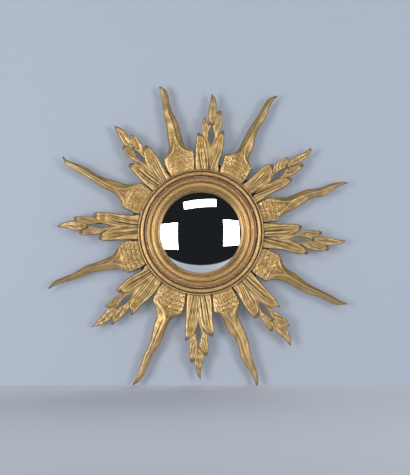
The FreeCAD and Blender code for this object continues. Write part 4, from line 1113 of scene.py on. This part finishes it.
driver = screw_driver()
steel = dulled_metal("dulled_steel", "#8d8a84", "#4a3b30", 0.38)
brass = dulled_metal("dulled_brass", "#b8954f", "#5d4526", 0.34)
ray_bearings = [bearing for bearing, _ in FLAMES.values()] + [leaf["bearing"] for leaf in LEAVES.values()]
button_face = BUTTON_DEPTHS[0] - HEAD_GAP - PAN_THICK
strap_face = RECESS_DEPTH - STRAP_THICK - PAN_THICK
strap_middle = sum(STRAP_Z) / 2
drive_screws("ray_wood_screws", "ray_screws", steel, SUNK_SCREW, RAY_SCREW_LENGTH,
             round_axis(ray_bearings, RAY_SCREW_RADII, RECESS_DEPTH), 1)
drive_screws("moulding_wood_screws", "moulding_screws", steel, SUNK_SCREW,
             MOULDING_SCREW_LENGTH,
             round_axis(MOULDING_SCREW_BEARINGS, (MOULDING_SCREW_RADIUS,), REBATE_DEPTH), 2)
drive_screws("turn_button_wood_screws", "turn_button_screws", brass, PAN_SCREW,
             HARDWARE_SCREW_LENGTH, round_axis(BUTTON_BEARINGS, (BUTTON_RADIUS,), button_face), 3)
drive_screws("hanger_wood_screws", "hanger_screws", brass, PAN_SCREW,
             HARDWARE_SCREW_LENGTH,
             [(x, strap_face, strap_middle) for x in (-STRAP_SCREW_X, STRAP_SCREW_X)], 4)


# ---- The turn buttons ----
# Four flat brass buttons with round ends, stamped from 2 mm sheet and tumbled, so that their edges
# are soft. Each turns on its own screw, and swung inwards it holds the back cover.

BUTTON_HALF_LENGTH = 15.0
BUTTON_HALF_WIDTH = 5.0
BUTTON_HOLE_R = 1.6
BUTTON_POINTS = 48
STAMPED_EDGE = 0.45

tarnished_brass = dulled_metal("tarnished_brass", "#a8864a", "#57411f", 0.40)


def rounded_bar(half_length, half_width, corner, count):
    """Points round a bar's outline with rounded corners, its length along the second number."""
    angles = 2 * math.pi * (np.arange(count) + 0.5) / count
    x, z = np.sin(angles), np.cos(angles)
    return np.column_stack([x * corner + np.sign(x) * (half_width - corner),
                            z * corner + np.sign(z) * (half_length - corner)])


def stamped_plate(outline, hole_r, depths):
    """A stamped plate between two depths, with a round hole at the origin and softened edges."""
    low, high = depths
    hole = outline / np.hypot(*outline.T)[:, None] * hole_r
    loops = []
    for edge, inwards in ((outline, -1), (hole, 1)):
        reach = np.hypot(*edge.T)[:, None]
        soft = edge * (1 + inwards * STAMPED_EDGE / reach)
        levels = ((soft, low), (edge, low + STAMPED_EDGE), (edge, high - STAMPED_EDGE), (soft, high))
        loops += levels[::-inwards]
    count = len(outline)
    points = np.vstack([np.column_stack([loop[:, 0], np.full(count, -depth), loop[:, 1]])
                        for loop, depth in loops])
    number = np.arange(len(loops) * count).reshape(len(loops), count)
    return points, [face for pair in zip(number, np.roll(number, -1, axis=0)) for face in band(*pair)]


button_outline = rounded_bar(BUTTON_HALF_LENGTH, BUTTON_HALF_WIDTH, BUTTON_HALF_WIDTH, BUTTON_POINTS)
button_points, button_faces = stamped_plate(button_outline, BUTTON_HOLE_R, BUTTON_DEPTHS)
for number, bearing in enumerate(BUTTON_BEARINGS, 1):
    v, y, u = button_points.T
    x, z = swung(v, u + BUTTON_RADIUS, bearing)
    button = make_piece(f"brass_turn_button_{number}", np.column_stack([x, y, z]), button_faces,
                        materials=[tarnished_brass])
    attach(button, f"turn_button_{number}")
    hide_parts(f"turn_button_{number}")


# ---- The hanger ----
# A stamped brass strap, its middle rolled into an eye round the straight side of a wire ring. The
# ring lies flat for transport and stands up against the board when the mirror hangs.

STRAP_HALF_WIDTH = 18.0
STRAP_CORNER = 3.0
STRAP_POINTS = 40
# the press located the strap by a small hole in its middle
LOCATING_HOLE_R = 1.0
EYE_AT = (120.0, 3.65)
EYE_RADII = (1.25, 2.35)
EYE_HALF_LENGTH = 4.5
EYE_CURL_DEG = 318.0
EYE_STEPS = 36
# the tab starts this far inside the plate, so that their faces don't lie in one plane
TAB_INSET = 0.2
TAB_OVERLAP = 1.0

plate_outline = rounded_bar((STRAP_Z[1] - STRAP_Z[0]) / 2, STRAP_HALF_WIDTH, STRAP_CORNER, STRAP_POINTS)
plate_points, plate_faces = stamped_plate(plate_outline, LOCATING_HOLE_R,
                                          (RECESS_DEPTH - STRAP_THICK, RECESS_DEPTH))
plate_points = plate_points + (0, 0, strap_middle)
curl = np.radians(np.linspace(0, EYE_CURL_DEG, EYE_STEPS))
eye_z, eye_depth = EYE_AT
tab = []
for radius, run in ((EYE_RADII[1], curl), (EYE_RADII[0], curl[::-1])):
    tab.append(np.column_stack([eye_z + radius * np.sin(run), eye_depth + radius * np.cos(run)]))
tab_z = STRAP_Z[1] - TAB_OVERLAP
tab.insert(0, [(tab_z, RECESS_DEPTH - TAB_INSET)])
tab.append([(tab_z, RECESS_DEPTH - STRAP_THICK + TAB_INSET)])
tab = np.vstack(tab)
eye_points = np.vstack([np.column_stack([np.full(len(tab), x), -tab[:, 1], tab[:, 0]])
                        for x in (-EYE_HALF_LENGTH, EYE_HALF_LENGTH)])
eye_side = np.arange(len(tab))
eye_faces = band(eye_side, eye_side + len(tab))
# each open side of the strip is closed by quads from its outer face to its inner one
eye_faces += [tuple(int(n) + shift for n in (k, k + 1, len(tab) - 2 - k, len(tab) - 1 - k))
              for shift in (0, len(tab)) for k in range(len(tab) // 2 - 1)]
shifted = [tuple(n + len(plate_points) for n in face) for face in eye_faces]
strap = make_piece("brass_hanger_strap", np.vstack([plate_points, eye_points]), plate_faces + shifted,
                   materials=[tarnished_brass])
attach(strap, "root")
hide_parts("hanger_strap")
finish_node("hanger_ring", tarnished_brass)


# ---- The studio ----
# A blue-grey wall behind the mirror, a pale floor, and three softboxes, to the left, to the right
# and above, which the convex glass shows as bright panes in a dark room. A fourth lights the back.

FRAME_CENTRE = (0.0088, -0.0109)
FRAME_HEIGHT = 0.9975
FRAME_DEPTH = 0.035
CAMERA_BELOW = 0.14
CAMERA_FROM_WALL = 3.0
SENSOR = 36.0

camera_data = bpy.data.cameras.new("camera")
camera_data.sensor_width = SENSOR
camera_data.lens = SENSOR * math.hypot(CAMERA_FROM_WALL - FRAME_DEPTH, CAMERA_BELOW) / FRAME_HEIGHT
camera = bpy.data.objects.new("camera", camera_data)
camera.location = (FRAME_CENTRE[0], -CAMERA_FROM_WALL, FRAME_CENTRE[1] - CAMERA_BELOW)
camera.rotation_euler = (math.radians(90) + math.atan2(CAMERA_BELOW, CAMERA_FROM_WALL - FRAME_DEPTH), 0, 0)
bpy.context.scene.collection.objects.link(camera)
bpy.context.scene.camera = camera

SOFTBOX_DISTANCE = 2.5
# Each softbox: degrees to the right of straight ahead and upwards, width and height in metres,
# radiance, and degrees that it is swung about its upright and rolled.
SOFTBOXES = {"softbox_left": (-36.0, -1.5, 1.0, 1.14, 10.6, 30.0, 0.0),
             "softbox_right": (33.5, 2.0, 0.85, 1.14, 9.3, -30.0, 0.0),
             "softbox_top": (-1.2, 33.5, 1.48, 0.37, 5.6, 0.0, 6.0),
             "rear_fill": (165.0, 25.0, 1.6, 1.6, 4.0, 0.0, 0.0)}


def softbox(name, azimuth, elevation, width, height, radiance, swing, roll):
    """A rectangular lamp that faces the mirror from a direction, seen only in reflections."""
    lamp = bpy.data.lights.new(name, "AREA")
    lamp.shape = "RECTANGLE"
    lamp.size, lamp.size_y = width, height
    lamp.energy = radiance * math.pi * width * height
    a, e = math.radians(azimuth), math.radians(elevation)
    away = Vector((math.sin(a) * math.cos(e), -math.cos(a) * math.cos(e), math.sin(e)))
    box = bpy.data.objects.new(name, lamp)
    box.location = away * SOFTBOX_DISTANCE
    box.rotation_mode = "QUATERNION"
    box.rotation_quaternion = (away.to_track_quat("Z", "Y") @ Quaternion((0, 1, 0), math.radians(swing))
                               @ Quaternion((0, 0, 1), math.radians(roll)))
    box.visible_camera = False
    bpy.context.scene.collection.objects.link(box)


for name, settings in SOFTBOXES.items():
    softbox(name, *settings)

WALL_HALF = 4.0
WALL_Y = 0.0005
WALL_GLOW = 0.16
FLOOR_Z = cad_low.z - 0.0004
# In reflections the floor ends at PALE_FLOOR_TO_Y straight ahead, and nearer the wall to the sides.
PALE_FLOOR_TO_Y = -0.448
PALE_FLOOR_CURL = 0.65
FLOOR_EDGE = 0.01


def plain_sheet(name, corners, material):
    """A flat rectangle of the studio, which is no part of the object and casts no shadow."""
    mesh = bpy.data.meshes.new(name)
    mesh.from_pydata(corners, [], [(0, 1, 2, 3)])
    mesh.materials.append(material)
    sheet = bpy.data.objects.new(name, mesh)
    sheet.visible_shadow = False
    bpy.context.scene.collection.objects.link(sheet)


def backdrop_paper():
    """Matt blue-grey paper. It is clear from behind, so that the mirror's back can be seen, and a
    little light of its own keeps the shadows on it as soft and pale as in a bright studio."""
    material, tree, shader = new_material("backdrop_paper")
    feed(tree, shader, {"Base Color": linear("#a1a8b3"), "Roughness": 0.95})
    clear = add(tree, "ShaderNodeBsdfTransparent")
    behind = add(tree, "ShaderNodeNewGeometry").outputs["Backfacing"]
    lens = add(tree, "ShaderNodeLightPath").outputs["Is Camera Ray"]
    share = add(tree, "ShaderNodeMath", {0: lens, 1: WALL_GLOW}, operation="MULTIPLY")
    glow = add(tree, "ShaderNodeEmission", {"Color": linear("#afb8c7")})
    lit = add(tree, "ShaderNodeMixShader", {0: share, 1: shader, 2: glow})
    seen = add(tree, "ShaderNodeMixShader", {0: behind, 1: lit, 2: clear})
    feed(tree, tree.nodes["Material Output"], {"Surface": seen})
    return material


def floor_paper():
    """The same paper on the floor, painted paler where the glass reflects it: a painted reflection. In
    reflections it ends in a curve a little way out from the wall, so that the glass shows it as a pale
    crescent below a dark room."""
    material, tree, shader = new_material("floor_paper")
    place = add(tree, "ShaderNodeTexCoord").outputs["Object"]
    across, along, _ = add(tree, "ShaderNodeSeparateXYZ", {0: place}).outputs
    squared = add(tree, "ShaderNodeMath", {0: across, 1: across}, operation="MULTIPLY")
    edge = add(tree, "ShaderNodeMath", {0: squared, 1: PALE_FLOOR_CURL, 2: along}, operation="MULTIPLY_ADD")
    far = add(tree, "ShaderNodeMapRange", {"Value": edge, 1: PALE_FLOOR_TO_Y - FLOOR_EDGE,
                                           2: PALE_FLOOR_TO_Y + FLOOR_EDGE, 3: 1.0, 4: 0.0})
    glossy = add(tree, "ShaderNodeLightPath").outputs["Is Glossy Ray"]
    # seen in reflections the paper is painted paler than seen straight on: a painted reflection
    paper = add(tree, "ShaderNodeMix", {0: glossy, 6: linear("#bcc0c8"), 7: linear("#e4e8f0")},
                data_type="RGBA")
    beyond = add(tree, "ShaderNodeMath", {0: glossy, 1: far}, operation="MULTIPLY")
    clear = add(tree, "ShaderNodeBsdfTransparent")
    seen = add(tree, "ShaderNodeMixShader", {0: beyond, 1: shader, 2: clear})
    feed(tree, shader, {"Base Color": paper.outputs[2], "Roughness": 0.95})
    feed(tree, tree.nodes["Material Output"], {"Surface": seen})
    return material


plain_sheet("backdrop", [(-WALL_HALF, WALL_Y, FLOOR_Z), (WALL_HALF, WALL_Y, FLOOR_Z),
                         (WALL_HALF, WALL_Y, WALL_HALF), (-WALL_HALF, WALL_Y, WALL_HALF)], backdrop_paper())
plain_sheet("floor", [(-WALL_HALF, -WALL_HALF, FLOOR_Z), (WALL_HALF, -WALL_HALF, FLOOR_Z),
                      (WALL_HALF, WALL_Y, FLOOR_Z), (-WALL_HALF, WALL_Y, FLOOR_Z)], floor_paper())

world = bpy.data.worlds.new("dark_studio")
world.use_nodes = True
bpy.context.scene.world = world
sky = world.node_tree
rays = add(sky, "ShaderNodeLightPath")
room = add(sky, "ShaderNodeMix", {0: rays.outputs["Is Glossy Ray"], 6: linear("#8a9099"),
                                  7: linear("#1e2022")}, data_type="RGBA")
shown = add(sky, "ShaderNodeMix", {0: rays.outputs["Is Camera Ray"], 6: room.outputs[2],
                                   7: linear("#b4bccb")}, data_type="RGBA")
feed(sky, sky.nodes["Background"], {"Color": shown.outputs[2]})
bpy.context.scene.view_settings.view_transform = "Standard"
